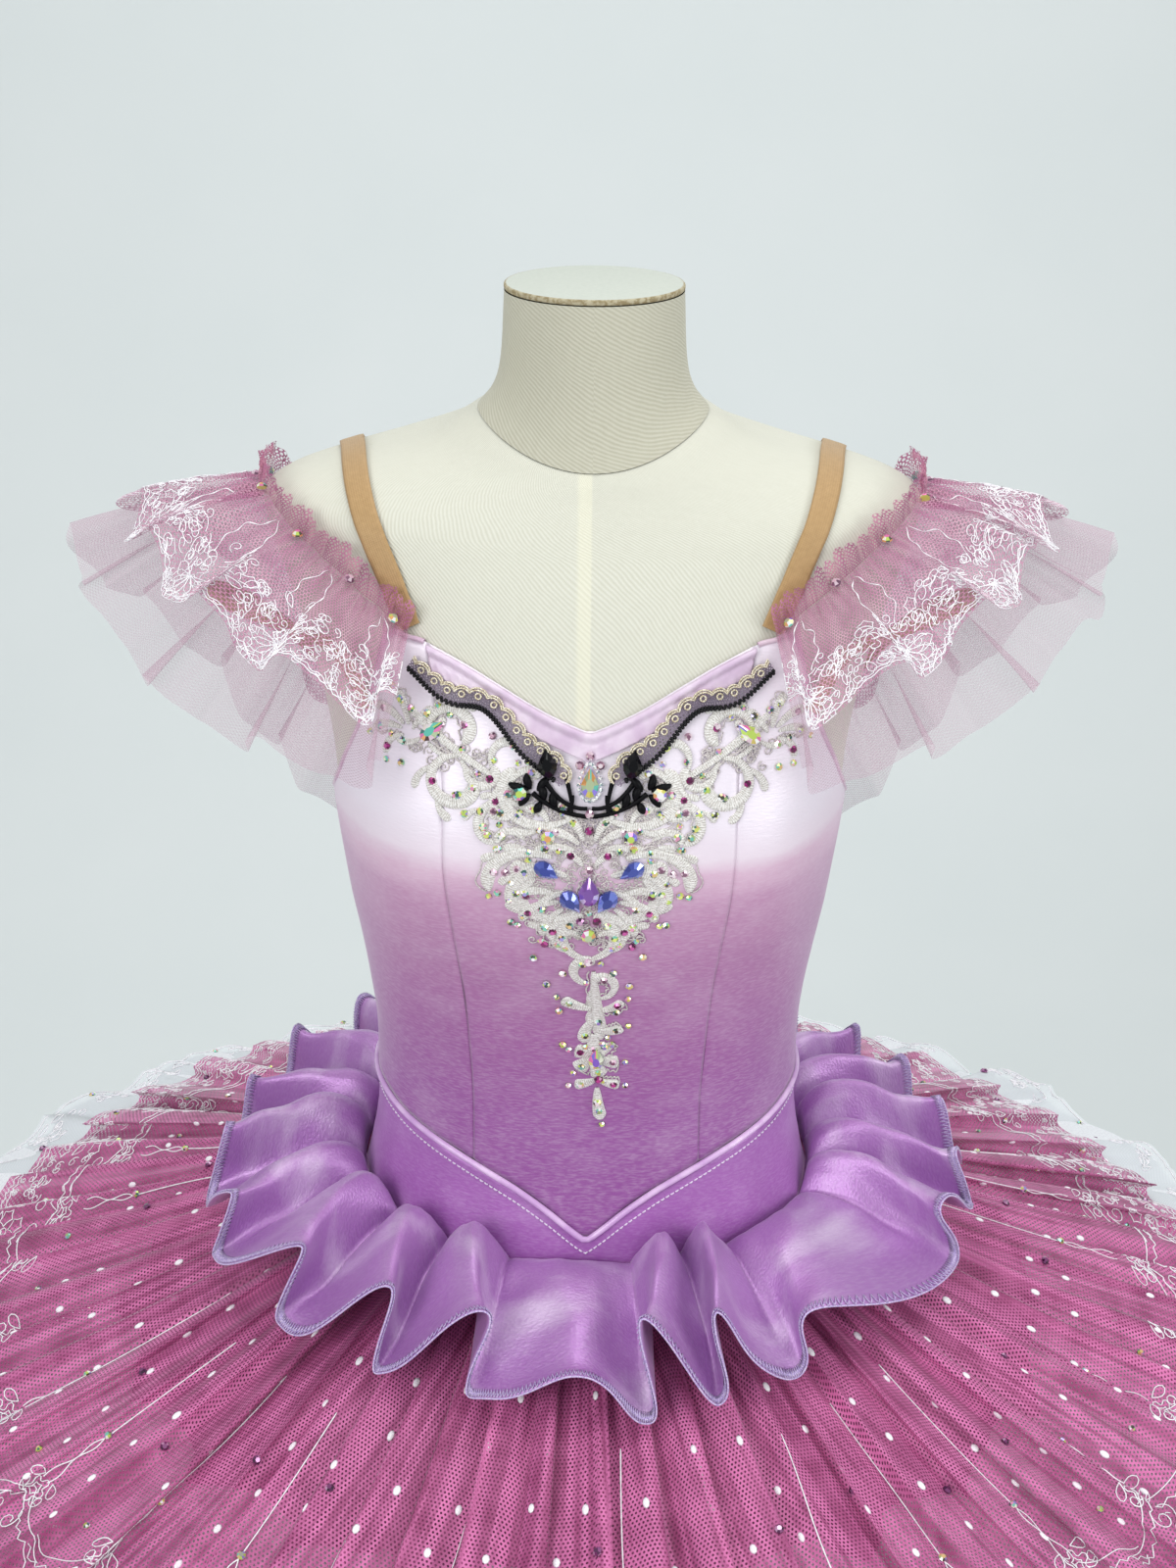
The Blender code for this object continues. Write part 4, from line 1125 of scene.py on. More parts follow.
class Finishes(Enum):
    """Every finish of the tutu and its form."""

    CHEST_TWILL = LinenTwill("linen_twill_chest", seam_band=True)
    # The neck's twill is the chest's linen in darker colours: painted shade, as the neck faces less
    # of the top light. Its ribs also run at another angle and pitch.
    NECK_TWILL = LinenTwill("linen_twill_neck_painted_shade", pale="#C9C7B7", dark="#AFAC98",
                            rib_angle=math.radians(-24), rib_pitch=1.9 * MM)
    CAP = WornBoard("worn_cap_board")
    STEEL = BrushedSteel("brushed_steel")
    BODICE = CrushedSatin(
        "dip_dyed_bodice_satin",
        stops=((0.93, "#98549F"), (0.99, "#A05DA4"), (1.05, "#AA6CA7"), (1.10, "#B680AE"),
               (1.140, "#C898BC"), (1.158, "#E0BCD4"), (1.170, "#F0E2EE"), (1.19, "#F2EAF5"),
               (1.25, "#F4EBF6")),
        light="#F6EAF6", patches=0.09, roughness=0.40, sheen=0.7, crosswise=0.22, crepe=1.0 * MM,
        grain=0.17, relief=0.48 * MM)
    BASQUE = CrushedSatin("dyed_basque_satin", stops=((0.88, "#A45FB0"), (0.98, "#B070BC")),
                          light="#E3C6EC", patches=0.14, roughness=0.38, sheen=0.6,
                          crosswise=0.3, crepe=1.1 * MM, grain=0.16, relief=0.5 * MM)
    # The ruffle's large light patches are painted highlights.
    RUFFLE = CrushedSatin("dyed_ruffle_satin", stops=((0.86, "#A870B6"), (0.92, "#B580C3")),
                          light="#F8ECFC", patches=0.44, roughness=0.38, sheen=0.25,
                          metallic=0.35, by_cloth=True, crosswise=0.7, patch_size=38 * MM,
                          grain=0.10, relief=1.2 * MM, coat=0.45)
    NECK_SATIN = SmoothSatin("pale_pink_satin")
    PIPING = SmoothSatin("mauve_piping_satin", colour="#EBCDF0", shade="#CFA4DA", roughness=0.16)
    BINDING = SmoothSatin("pink_binding_satin", colour="#E3CBDA", shade="#C9A8C0")
    TOP_NET = HexNet("raspberry_hex_net", thread="#DE78B2", shade="#943A6C", cell=2.7 * MM,
                     open_from=0.38, open_to=1.15, folded=7 * MM)
    SLEEVE_NET = HexNet("pink_hex_net", thread="#D4A2B6", shade="#B46E94", cell=2.1 * MM,
                        open_from=-1.45, open_to=-0.1, gathered=34 * MM)
    HEADING_NET = HexNet("pink_heading_net", thread="#C9899F", shade="#A45C84", cell=1.8 * MM,
                         open_from=-0.9, open_to=0.5, gathered=22 * MM)
    WHITE_NET = FineTulle("white_lace_ground", colour="#E9EEF2", cover=0.70)
    PLATE_NET = UnderNet("stacked_tutu_net", near="#8E3F70", turn_from=0.44, turn_to=0.50)
    LOWER_NET = UnderNet("pink_tutu_net", near="#C98FB0", far="#E4C6D8")
    TULLE = FineTulle("pink_sleeve_tulle", gathered=110 * MM)
    # The white thread's faint glow is painted light that brightens it.
    WHITE_THREAD = ShinyThread("white_rayon_thread", "#FFFFFF", "#ECE6F0", painted_glow=0.05)
    LILAC_THREAD = ShinyThread("lilac_overlock_thread", "#E0D0F0", "#AE97D2")
    STITCH_THREAD = ShinyThread("pale_edge_stitching", "#FBF4FF", "#E2CDEC")
    ELASTIC = WovenElastic("tan_woven_elastic")
    SATIN_STITCH = SatinStitch("ivory_satin_stitch")
    IVORY_CORD = ShinyThread("ivory_cording", "#E6E0DC", "#BDB2B4")
    BLACK_NET = HexNet("black_lace_ground", thread="#8A7C8E", shade="#64586A", cell=1.9 * MM,
                       open_from=0.0, open_to=0.8)
    BLACK_CORD = JetGlass("black_silk_cord", roughness=0.5, gloss=0.15)
    JET = JetGlass("jet_glass")
    GOLD = MetalThread("pale_gold_thread")
    CRYSTAL = CutCrystal("cut_crystal")


# ---------------------------------------------------------------- dressing the pieces
def set_piece(obj: Object, finish: Finishes, nodes: tuple[str, ...] = ()) -> None:
    """Gives a finished piece its material, attaches it to the body and hides the solids that it
    stands for.
    """
    obj.data.materials.clear()
    obj.data.materials.append(finish.value.material())
    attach(obj, BODY)
    if nodes:
        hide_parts(*nodes)


def lay_sheet(name: str, net: Net, finish: Finishes, nodes: tuple[str, ...],
              wall: float = 0.0) -> None:
    """Args:
        name: of the piece.
        net: its points.
        finish: its cloth.
        nodes: solids that it replaces.
        wall: its thickness, or 0 for a single surface.
    """
    obj = net_object(name, net, wall)
    set_piece(obj, finish, nodes)
    width, length = float(net.breadth().max()), float(net.depth().max())
    if width > NARROWEST_SHEET:
        min(net.area(), width * length)


def lay_cord(name: str, radius: float, sides: int, place: tuple[Array, Array, float],
             finish: Finishes, nodes: tuple[str, ...] = ()) -> None:
    """Makes a cord that follows the figure.

    Args:
        name: of the piece.
        radius: of the cord.
        sides: facets round it.
        place: heights and turns along its middle line and how far off the figure that runs.
        finish: its cloth.
        nodes: solids that it replaces.
    """
    z, turn, out = place
    cord = Threads(radius, sides)
    cord.lay(Figure.point(z, turn, out), Figure.outward(z, turn))
    set_piece(cord.finish(name), finish, nodes)


# ---------------------------------------------------------------- the dress form
@dataclass
class DressForm:
    """The padded, cloth-covered form on its pole."""

    columns: int = 120
    level_rows: int = 40
    seam_depth: float = 0.8 * MM
    seam_half_width: float = 1.1 * MM

    def rings(self, turn: Array) -> Array:
        """Rows of points up the torso and neck, through the same rings as the solid's."""
        z = np.linspace(FORM_BOTTOM_Z, FIGURE[-1, 0], self.level_rows)
        levels = Figure.point(z[:, None], turn[None, :], 0.0, FORM_BUST_RISE)
        slopes = []
        for front_z, side_z, back_z, half_width, front, back, power in SHOULDERS:
            points, _ = ring_points((half_width, front, back), power, turn, np.zeros_like(turn))
            end = np.where(np.cos(turn) > 0, front_z, back_z)
            points[:, 2] = mixed(side_z, end, np.cos(turn) ** 2)
            slopes.append(points)
        return np.concatenate([levels, np.array(slopes)])

    def smooth_rows(self, rows: Array, first: int, count: int) -> Array:
        """Rows from the given one up, rounded through by a curve in each column."""
        upper = np.stack([smooth_path(list(rows[first:, c]), count)
                          for c in range(rows.shape[1])], 1)
        return np.concatenate([rows[:first], upper])

    def build(self) -> None:
        """Torso, neck, cap, pole and foot."""
        rows = self.rings(np.arange(self.columns) / self.columns * TAU)
        seam_row = self.level_rows + NECK_SEAM_RING
        torso = self.seamed(self.smooth_rows(rows[:seam_row + 1], self.level_rows - 3, 4))
        neck = self.smooth_rows(rows[seam_row:], 0, 5)
        set_piece(net_object("form_torso_cloth", Net(torso, closed=True)), Finishes.CHEST_TWILL,
                  ("form_torso",))
        set_piece(net_object("form_neck_cloth", Net(neck, closed=True)), Finishes.NECK_TWILL)
        self.metal_and_board()

    def seamed(self, rows: Array) -> Array:
        """Presses the centre front and neck seams into the torso."""
        net = Net(rows, closed=True)
        front = np.exp(-((rows[..., 0] / self.seam_half_width) ** 2)) * (rows[..., 1] < 0)
        press = front * self.seam_depth
        press[-1] = self.seam_depth
        return rows - net.normals * press[..., None]

    def metal_and_board(self) -> None:
        """The flat neck cap, the pole and the finish of the turned round foot."""
        cap = round_bar("neck_cap", 96, CAP_RADIUS, NECK_TOP_Z + SEAM_GAP, CAP_HEIGHT, 1.1 * MM, 3)
        set_piece(cap, Finishes.CAP, ("form_neck_cap",))
        bottom = STAND_TOP_Z + SEAM_GAP
        pole = round_bar("stand_pole", 48, POLE_RADIUS, bottom, FORM_BOTTOM_Z - SEAM_GAP - bottom,
                         0.8 * MM, 2)
        set_piece(pole, Finishes.STEEL, ("form_pole",))
        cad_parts["form_foot"].data.materials.clear()
        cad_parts["form_foot"].data.materials.append(Finishes.STEEL.value.material())


# ---------------------------------------------------------------- bodice
class Panel(Enum):
    """The bodice's panels: node, first and last seam turn."""

    CENTRE_FRONT = ("bodice_centre_front", -PRINCESS_FRONT, PRINCESS_FRONT)
    SIDE_FRONT_LEFT = ("bodice_side_front_left", PRINCESS_FRONT, SIDE_SEAM)
    SIDE_FRONT_RIGHT = ("bodice_side_front_right", -SIDE_SEAM, -PRINCESS_FRONT)
    SIDE_BACK_LEFT = ("bodice_side_back_left", SIDE_SEAM, PRINCESS_BACK)
    SIDE_BACK_RIGHT = ("bodice_side_back_right", -PRINCESS_BACK, -SIDE_SEAM)
    BACK_LEFT = ("bodice_back_left", PRINCESS_BACK, math.pi)
    BACK_RIGHT = ("bodice_back_right", -math.pi, -PRINCESS_BACK)


@dataclass
class Bodice:
    """Seven satin panels, the piped waist, the basque and the brief."""

    rows: int = 62
    step: float = 0.016
    roll_depth: float = 0.55 * MM
    roll_width: float = 1.0 * MM
    pucker: float = 0.35 * MM
    wall: float = BODICE_WALL - 0.2 * MM
    overlap: float = 0.0004  # radians that each panel reaches past its seams
    pucker_reach: float = 0.010
    pucker_start: float = 0.003
    drape_height: float = 0.35 * MM
    back_gap: float = 0.004  # radians
    stitch_radius: float = 0.55 * MM
    stitch_bow: float = 0.6 * MM
    stitch_off: float = SHELL_OUT + 0.25 * MM
    piping: float = 1.95 * MM
    stitch_drop: float = 8.2 * MM
    stitch_length: float = 2.5 * MM
    stitch_pitch: float = 3.3 * MM

    def sheet_net(self, start: float, end: float, low: Edge, high: Edge, seed: int,
                  rows: int) -> Net:
        """A panel between two seams and two edges, rolled in at its seams and puckered there.

        Args:
            start: turn of its first seam.
            end: turn of its last seam.
            low: function of turn for its lower edge.
            high: function of turn for its upper edge.
            seed: picks its creases.
            rows: of points up it.

        Returns:
            The panel's net.
        """
        count = max(int((end - start) / self.step), 8)
        turn = np.linspace(start - self.overlap, end + self.overlap, count)
        up = np.linspace(0, 1, rows)[:, None]
        z = mixed(low(turn)[None, :], high(turn)[None, :], up)
        radius = eased(FIGURE, z, 2)
        from_seam = np.minimum(turn - start, end - turn)[None, :] * radius
        roll = np.exp(-((from_seam / self.roll_width) ** 2)) * self.roll_depth
        near = np.exp(-((from_seam / self.pucker_reach) ** 2))
        near = near * (1 - np.exp(-((from_seam / self.pucker_start) ** 2)))
        creases = ripple(from_seam / 0.03, z / 0.011, seed) * near * self.pucker
        drape = ripple(turn[None, :] * 2.2, z / 0.09, seed + 40) * self.drape_height
        return Net(Figure.point(z, turn[None, :], SHELL_OUT - roll + creases + drape),
                   towards=Figure.outward(z, turn[None, :]))

    def build(self) -> None:
        """Panels, basque, brief, piping and stitching."""
        for number, panel in enumerate(Panel):
            node, start, end = panel.value
            net = self.sheet_net(start, end, lambda t: edge_height(WAIST_LINE, t) + self.piping,
                                 lambda t: edge_height(BODICE_TOP, t), number, self.rows)
            lay_sheet(f"{node}_satin", net, Finishes.BODICE, (node,),
                      self.wall)
        self.basque()
        self.piped_waist()
        self.stitching()

    def basque(self) -> None:
        """The shaped band under the waist and the brief below it."""
        for side, start, end in (("front", -SIDE_SEAM, SIDE_SEAM),
                                 ("back_left", SIDE_SEAM, math.pi),
                                 ("back_right", -math.pi, -SIDE_SEAM)):
            for node, low, high, seed, rows in (
                (f"basque_{side}", basque_hem,
                 lambda t: edge_height(WAIST_LINE, t) - self.piping, 11, 18),
                (f"brief_{side}", lambda t: edge_height(LEG_LINE, t),
                 lambda t: basque_hem(t) - SEAM_GAP, 17, 8),
            ):
                net = self.sheet_net(start, end, low, high, seed, rows)
                lay_sheet(f"{node}_satin", net, Finishes.BASQUE, (node,),
                          self.wall)

    def piped_waist(self) -> None:
        """The satin cord along the pointed waist line, open at the centre back."""
        turn = np.linspace(-math.pi + self.back_gap, math.pi - self.back_gap, 420)
        lay_cord("waist_piping_cord", self.piping, 12,
                 (edge_height(WAIST_LINE, turn), turn, SHELL_OUT + 0.9 * MM),
                 Finishes.PIPING, ("waist_piping",))

    def stitching(self) -> None:
        """Edge stitches a presser foot's width below the piping."""
        turn = np.linspace(-math.pi, math.pi, 1400)
        z = edge_height(WAIST_LINE, turn) - self.stitch_drop
        along = travelled(Figure.point(z, turn, self.stitch_off))
        bundle = Threads(self.stitch_radius, 4)
        bow = np.array([-0.5, -0.1, 0.35, -0.1, -0.5]) * self.stitch_bow
        for start in np.arange(0, along[-1] - self.stitch_length, self.stitch_pitch):
            at = np.linspace(start, start + self.stitch_length, 5)
            where = np.interp(at, along, turn)
            height = edge_height(WAIST_LINE, where) - self.stitch_drop
            bundle.lay(Figure.point(height, where, self.stitch_off + bow),
                       Figure.outward(height, where), [0.6, 1, 1, 1, 0.6])
        set_piece(bundle.finish("waist_edge_stitching"), Finishes.STITCH_THREAD)


# ---------------------------------------------------------------- skirt
@dataclass(frozen=True)
class Pleats:
    """How one layer of the skirt is pleated; pairs hold at the figure and at the rim."""

    row: int  # of the stack of layers
    count: int
    lift: float  # over its row
    deep: tuple[float, float]  # half height of a pleat
    fold: tuple[float, float]  # how far a pleat folds over
    fine: float = 0.0  # half height of the small gathers between the pleats
    rim: float = 0.0  # half height of the flutes of the outermost part


@dataclass
class Skirt:
    """The pleated top net, the white lace over its plate, and the nets below."""

    top_pleats: Pleats = Pleats(0, 56, 0.0008, (0.0036, 0.0058), (2.1, 1.5), fine=0.0016)
    lace_pleats: Pleats = Pleats(1, 32, LACE_BAND_LIFT, (0.0021, 0.0044), (1.1, 0.9), rim=0.0065)
    lower_pleats: Pleats = Pleats(2, 12, 0.0, (0.0021, 0.0044), (0.5, 0.5))
    hem_reach: float = 0.78
    hem_depth: float = 0.016
    hem_scallops: int = 26
    lace_scallops: int = 30
    lace_in_scallops: int = 22
    lace_in: float = 0.045
    lace_out: float = 0.035
    plate_reach: float = 0.97
    plate_depth: float = 0.02
    plate_scallops: int = 34
    lower_reaches: tuple[float, float] = (0.85, 0.68)
    root_drop: float = 0.0021
    # Half heights of the slow waves of the whole plate, five and eight of them round it.
    five_swells: float = 0.0045
    eight_swells: float = 0.0035
    # Columns and rows of each layer's net.
    top_grid: tuple[int, int] = (960, 38)
    lace_grid: tuple[int, int] = (640, 26)
    plate_grid: tuple[int, int] = (448, 14)
    lower_grid: tuple[int, int] = (200, 10)

    def point(self, turn: Array, reach: Array, drop: Array, lift: Array) -> Array:
        """Places on the skirt's slope: reach 0 at the figure and 1 at the widest rim."""
        tilt = -SKIRT_TILT * np.cos(turn)
        root_z = SKIRT_FALL[0, 1] - drop + tilt - self.root_drop
        root = Figure.point(root_z, turn, SHELL_OUT + 3 * SEAM_GAP)
        rim = np.stack([np.sin(turn), -np.cos(turn), np.zeros_like(turn)], -1) * RIM_RADIUS
        place = mixed(root, rim, reach[..., None])
        place[..., 2] = eased(SKIRT_FALL, reach) + tilt * (1 + reach) - drop + lift
        return place

    def swell(self, turn: Array, reach: Array) -> Array:
        """Slow rise and fall of the whole plate towards its rim."""
        return reach ** 2 * (self.five_swells * np.sin(5 * turn + 0.6)
                             + self.eight_swells * np.sin(8 * turn + 2.1))

    def pleated(self, s: Array, reach: Array, pleats: Pleats) -> Array:
        """Pleats of uneven width that lean over one way or the other.

        Args:
            s: place round the cloth, 0 to tau.
            reach: place down it.
            pleats: the layer's pleats.

        Returns:
            The places.
        """
        s, reach = np.broadcast_arrays(s, reach)
        phase = pleats.count * s + 0.5 * np.sin(4 * s + 1) + 0.3 * np.sin(9 * s)
        uneven = 1 + 0.22 * np.sin(3 * s + 1.3) + 0.22 * np.sin(13 * s + 0.4)
        lean = np.tanh(2.2 * (np.sin(5 * s + 0.5) + 0.55 * np.sin(17 * s + 2)))
        over = mixed(*pleats.fold, reach) * lean * np.sqrt(uneven)
        turn = s + over * np.sin(phase + 0.35 * lean) / pleats.count
        wave = np.sin(phase) + 0.16 * np.sin(2 * phase + 1.2) + 0.10 * np.sin(3 * phase + s * 5)
        drop = pleats.row * mixed(ROW_PITCH, RIM_PITCH, reach)
        rise = wave * mixed(*pleats.deep, reach) * np.sqrt(uneven) + pleats.lift
        if pleats.fine:
            near_seam = np.minimum(reach / 0.1, 1)
            rise = rise + pleats.fine * ripple(s * 24, reach * 0.7, 14) * near_seam
        if pleats.rim:
            outer = np.clip((reach - 0.72) / 0.2, 0, 1)
            rise = rise + pleats.rim * outer * ripple(s * 13, reach * 2.0, 15)
        return self.point(turn, reach, drop, rise + self.swell(turn, reach))

    def cloth_turns(self, count: int, pleats: Pleats) -> Array:
        """Places round the cloth that lie evenly along its pleats at mid reach."""
        s = np.linspace(0, TAU, 12000)
        along = travelled(self.pleated(s, np.full_like(s, 0.55), pleats))
        return np.interp(np.arange(count) / count * along[-1], along, s)

    def layer_net(self, grid: tuple[int, int], first: Edge | float, last: Edge | float,
                  pleats: Pleats) -> Net:
        """One layer's net between two reaches."""
        s = self.cloth_turns(grid[0], pleats)
        start = first(s) if callable(first) else np.full_like(s, first)
        end = last(s) if callable(last) else np.full_like(s, last)
        reach = mixed(start[None, :], end[None, :], np.linspace(0, 1, grid[1])[:, None])
        return Net(self.pleated(s[None, :], reach, pleats), closed=True, towards=UP)

    def scalloped(self, base: float, depth: float, count: int) -> Edge:
        """An edge at a reach, cut into rounded scallops."""
        def edge(s: Array) -> Array:
            """The reach of the edge at places round the cloth."""
            arc = np.abs(np.sin(count * s / 2 + 0.5 * np.sin(3 * s)))
            return base + depth * (arc ** 0.7 - 1.0)
        return edge

    def build(self) -> None:
        """All layers, from the top one down."""
        self.top = self.layer_net(
            self.top_grid, 0.0,
            self.scalloped(self.hem_reach, self.hem_depth, self.hem_scallops), self.top_pleats)
        self.lace = self.layer_net(
            self.lace_grid, self.scalloped(BEND, -self.lace_in, self.lace_in_scallops),
            self.scalloped(1.0, self.lace_out, self.lace_scallops), self.lace_pleats)
        plate = self.layer_net(
            self.plate_grid, 0.0,
            self.scalloped(self.plate_reach, self.plate_depth, self.plate_scallops),
            replace(self.lace_pleats, lift=0.0, rim=0.0))
        layers = [("skirt_top_net", self.top, "skirt_top_lace", Finishes.TOP_NET, "raspberry_lace"),
                  ("skirt_white_lace_band", self.lace, "skirt_white_lace", Finishes.WHITE_NET,
                   "white_lace"),
                  ("skirt_plate", plate, "skirt_plate_net", Finishes.PLATE_NET, "skirt_net")]
        for number, (name, last) in enumerate(zip("ab", self.lower_reaches)):
            pleats = replace(self.lower_pleats, row=self.lower_pleats.row + number)
            layers.append((f"skirt_lower_net_{name}",
                           self.layer_net(self.lower_grid, 0.0, last, pleats),
                           f"skirt_under_net_{name}", Finishes.LOWER_NET, "skirt_net"))
        for name, net, node, finish, slot in layers:
            lay_sheet(name, net, finish, (node,))


# ---------------------------------------------------------------- ruffle
@dataclass
class Ruffle:
    """The gathered satin peplum with its overlocked edge."""

    # Turn of the lowest point between two flutes, then the height of the flute after it and how far
    # its crest leans back over that point, from the wearer's right of the centre back round.
    flutes: tuple[tuple[float, float, float], ...] = (
        (-2.84, 1.0, -0.30), (-2.58, 0.8, -0.40), (-2.31, 1.1, -0.45), (-2.03, 0.8, -0.45),
        (-1.75, 1.2, -0.50), (-1.46, 0.9, -0.50), (-1.18, 1.1, -0.55), (-0.87, 0.9, -0.52),
        (-0.56, 1.0, -0.55), (-0.28, -0.15, -0.10), (0.155, 0.9, 0.52), (0.36, 1.0, 0.54),
        (0.57, 0.2, 0.35), (1.20, 0.7, 0.50), (1.42, 0.9, 0.50), (1.64, 1.1, 0.48),
        (1.88, 0.9, 0.48), (2.13, 0.8, 0.45), (2.39, 1.1, 0.42), (2.65, 0.8, 0.35),
        (2.91, 1.0, 0.20), (3.17, 0.8, 0.0))
    width: tuple[float, float, float] = (0.082, 0.094, 0.092)  # front, side and back
    drop: tuple[float, float, float] = (0.013, -0.004, 0.0)  # front, side and back
    depth: float = 0.0280
    shoulder: float = 0.0150  # how high the flutes stand up out of the seam
    point_share: float = 0.06
    seam_lift: float = 0.003
    belly: float = 0.009
    gather_height: float = 0.0009
    crease_height: float = 0.0034
    cord_radius: float = 0.60 * MM
    stitch_radius: float = 0.42 * MM
    stitch_pitch: float = 0.0024
    wall: float = 0.0009
    columns: int = 32
    rows: int = 26

    def point(self, phase: Array, share: Array) -> Array:
        """Places on the ruffle: share 0 at its seam and 1 at its edge."""
        count = len(self.flutes)
        table = np.array(self.flutes)
        turns = np.concatenate([table[-2:, 0] - TAU, table[:, 0], table[:3, 0] + TAU])
        knots = np.stack([np.arange(-2, count + 3), turns], 1)
        flute = np.floor(phase).astype(int) % count
        angle = TAU * phase
        deep = mixed(0.02, 1.0, share ** 1.5)
        lobe = (1 - np.cos(angle)) / 2
        crest = lobe ** mixed(0.5, 1.35, share)
        shift = -table[flute, 2] * crest - self.point_share * np.sin(angle) / TAU
        turn = eased(knots, phase + shift * deep)
        c = np.cos(turn)
        wave = (1 + table[flute, 1]) * crest - 1
        front = c > 0
        end = np.where(front, self.width[0], self.width[2])
        fall = mixed(self.drop[1], np.where(front, self.drop[0], self.drop[2]), c * c)
        reach = share * mixed(self.width[1], end, c * c) * (1 + 0.05 * np.sin(5 * turn + 1))
        reach = reach * (1 - 0.07 * wave * share) * share ** 0.3
        root_z = basque_hem(turn) + self.seam_lift
        high = 0.84 + 0.20 * c * c + 0.10 * np.sin(7 * turn + 0.5)
        place = Figure.point(root_z, turn, SHELL_OUT + 3 * SEAM_GAP)
        place = place + Figure.outward(root_z, turn) * reach[..., None]
        belly = self.belly * np.sin(math.pi * np.minimum(share * 1.1, 1.0))
        near_seam = np.sin(math.pi * np.minimum(share / 0.95, 1.0) ** 0.5)
        tall = np.clip(0.35 + table[flute, 1], 0.2, 1.5)
        shoulder = self.shoulder * tall * lobe ** 0.30 * near_seam
        gathers = ripple(phase * 4, share * 0.7, 5) * self.gather_height * near_seam
        creases = ripple(phase * 2.1 + share * 1.3, share * 1.9, 12) * self.crease_height
        creases = creases * share ** 1.5
        place[..., 2] = (root_z + belly - fall * share ** 2 + self.depth * high * deep * wave
                         + shoulder + gathers + creases)
        return place

    def build(self) -> None:
        """The ruffle, its rolled edge thread and its overlock stitches."""
        count = len(self.flutes)
        phase = np.arange(count * self.columns) / self.columns
        share = np.linspace(0, 1, self.rows)[:, None]
        self.net = Net(self.point(*np.broadcast_arrays(phase[None, :], share)), closed=True,
                       towards=UP)
        lay_sheet("peplum_ruffle_satin", self.net, Finishes.RUFFLE,
                  ("peplum_ruffle",), self.wall)
        self.overlock(count)

    def overlock(self, count: int) -> None:
        """The edge cord and the slanting stitches over it."""
        edge = Threads(self.cord_radius, 6)
        across = np.linspace(0, 1, count * 40)
        edge.lay(*self.net.place(across, np.ones_like(across), -0.3 * MM))
        stitches = int(float(self.net.breadth()[-1]) / self.stitch_pitch)
        at = np.arange(stitches * 4 + 1) / (stitches * 4)
        down = np.tile([1.0, 0.985, 0.955, 0.985], stitches + 1)[:len(at)]
        over = np.tile([1.1, 0.9, 0.6, 0.9], stitches + 1)[:len(at)] * MM
        stitch = Threads(self.stitch_radius, 3)
        stitch.lay(*self.net.place(at, down, over))
        for threads, name in ((edge, "ruffle_edge_cord"), (stitch, "ruffle_overlock_stitches")):
            set_piece(threads.finish(name), Finishes.LILAC_THREAD)


# ---------------------------------------------------------------- straps and sleeves
class FormSurface:
    """The solid form's surface, for seating what lies on it."""

    def __init__(self) -> None:
        """Reads the form's solid."""
        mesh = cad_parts["form_torso"].data
        self.tree = BVHTree.FromPolygons([v.co.copy() for v in mesh.vertices],
                                         [tuple(f.vertices) for f in mesh.polygons])

    def seat(self, points: Array, off: float) -> tuple[Array, Array]:
        """Moves points to stand off from the form.

        Args:
            points: one a row.
            off: how far off its surface.

        Returns:
            The places and the directions out of the form.
        """
        hits = [self.tree.find_nearest(Vector(p)) for p in points]
        normals = np.array([hit[1] for hit in hits])
        return np.array([hit[0] for hit in hits]) + normals * off, normals


@dataclass
class Straps:
    """Woven elastics over the shoulders and round the arms."""

    surface: FormSurface
    columns: int = 9

    def build(self) -> None:
        """Both shoulder straps and both arm elastics."""
        for name, side in (("left", 1), ("right", -1)):
            path = smooth_path(STRAP, 14, side)
            seats, normals = self.surface.seat(path, 4 * SEAM_GAP + RIBBON_WALL)
            self.ribbon(f"shoulder_elastic_{name}", softened(seats, 4), softened(normals, 12),
                        STRAP_WIDTH, f"strap_{name}")
            front, back = (Figure.point(z, turn, SHELL_OUT + 8 * SEAM_GAP)
                           for turn, z in (ELASTIC_FRONT, ELASTIC_BACK))
            path = smooth_path([front, *ARM_ELASTIC, back], 10, side)
            away = path - np.array([side * 0.13, 0.0, 1.26])
            away[:, 2] = 0
            self.ribbon(f"arm_elastic_band_{name}", path, unit(away), ELASTIC_WIDTH,
                        f"arm_elastic_{name}")

    def ribbon(self, name: str, path: Array, normals: Array, width: float, node: str) -> None:
        """A flat band along a path, a little thinner at its edges."""
        ahead = unit(np.gradient(path, axis=0))
        across = unit(np.cross(ahead, normals))
        over = unit(np.cross(across, ahead))
        share = np.linspace(-0.5, 0.5, self.columns)
        crown = -(np.abs(share) * 2) ** 6 * 0.3 * MM
        points = (path[:, None] + across[:, None] * (share * width)[None, :, None]
                  + over[:, None] * crown[None, :, None])
        lay_sheet(name, Net(points, towards=over[:, None]), Finishes.ELASTIC,
                  (node,), RIBBON_WALL - 0.2 * MM)


@dataclass(frozen=True)
class Frill:
    """Sizes of one gathered frill of a sleeve."""

    rows: int  # of points down it
    bulge: float  # how far its middle stands out
    lift: float  # off the layer below, away from the line
    deep: tuple[float, float]  # half height of its waves in the middle and at the edge
    seed: int  # picks its small gathers
    trim: float  # depth of its scallops as a share of its width


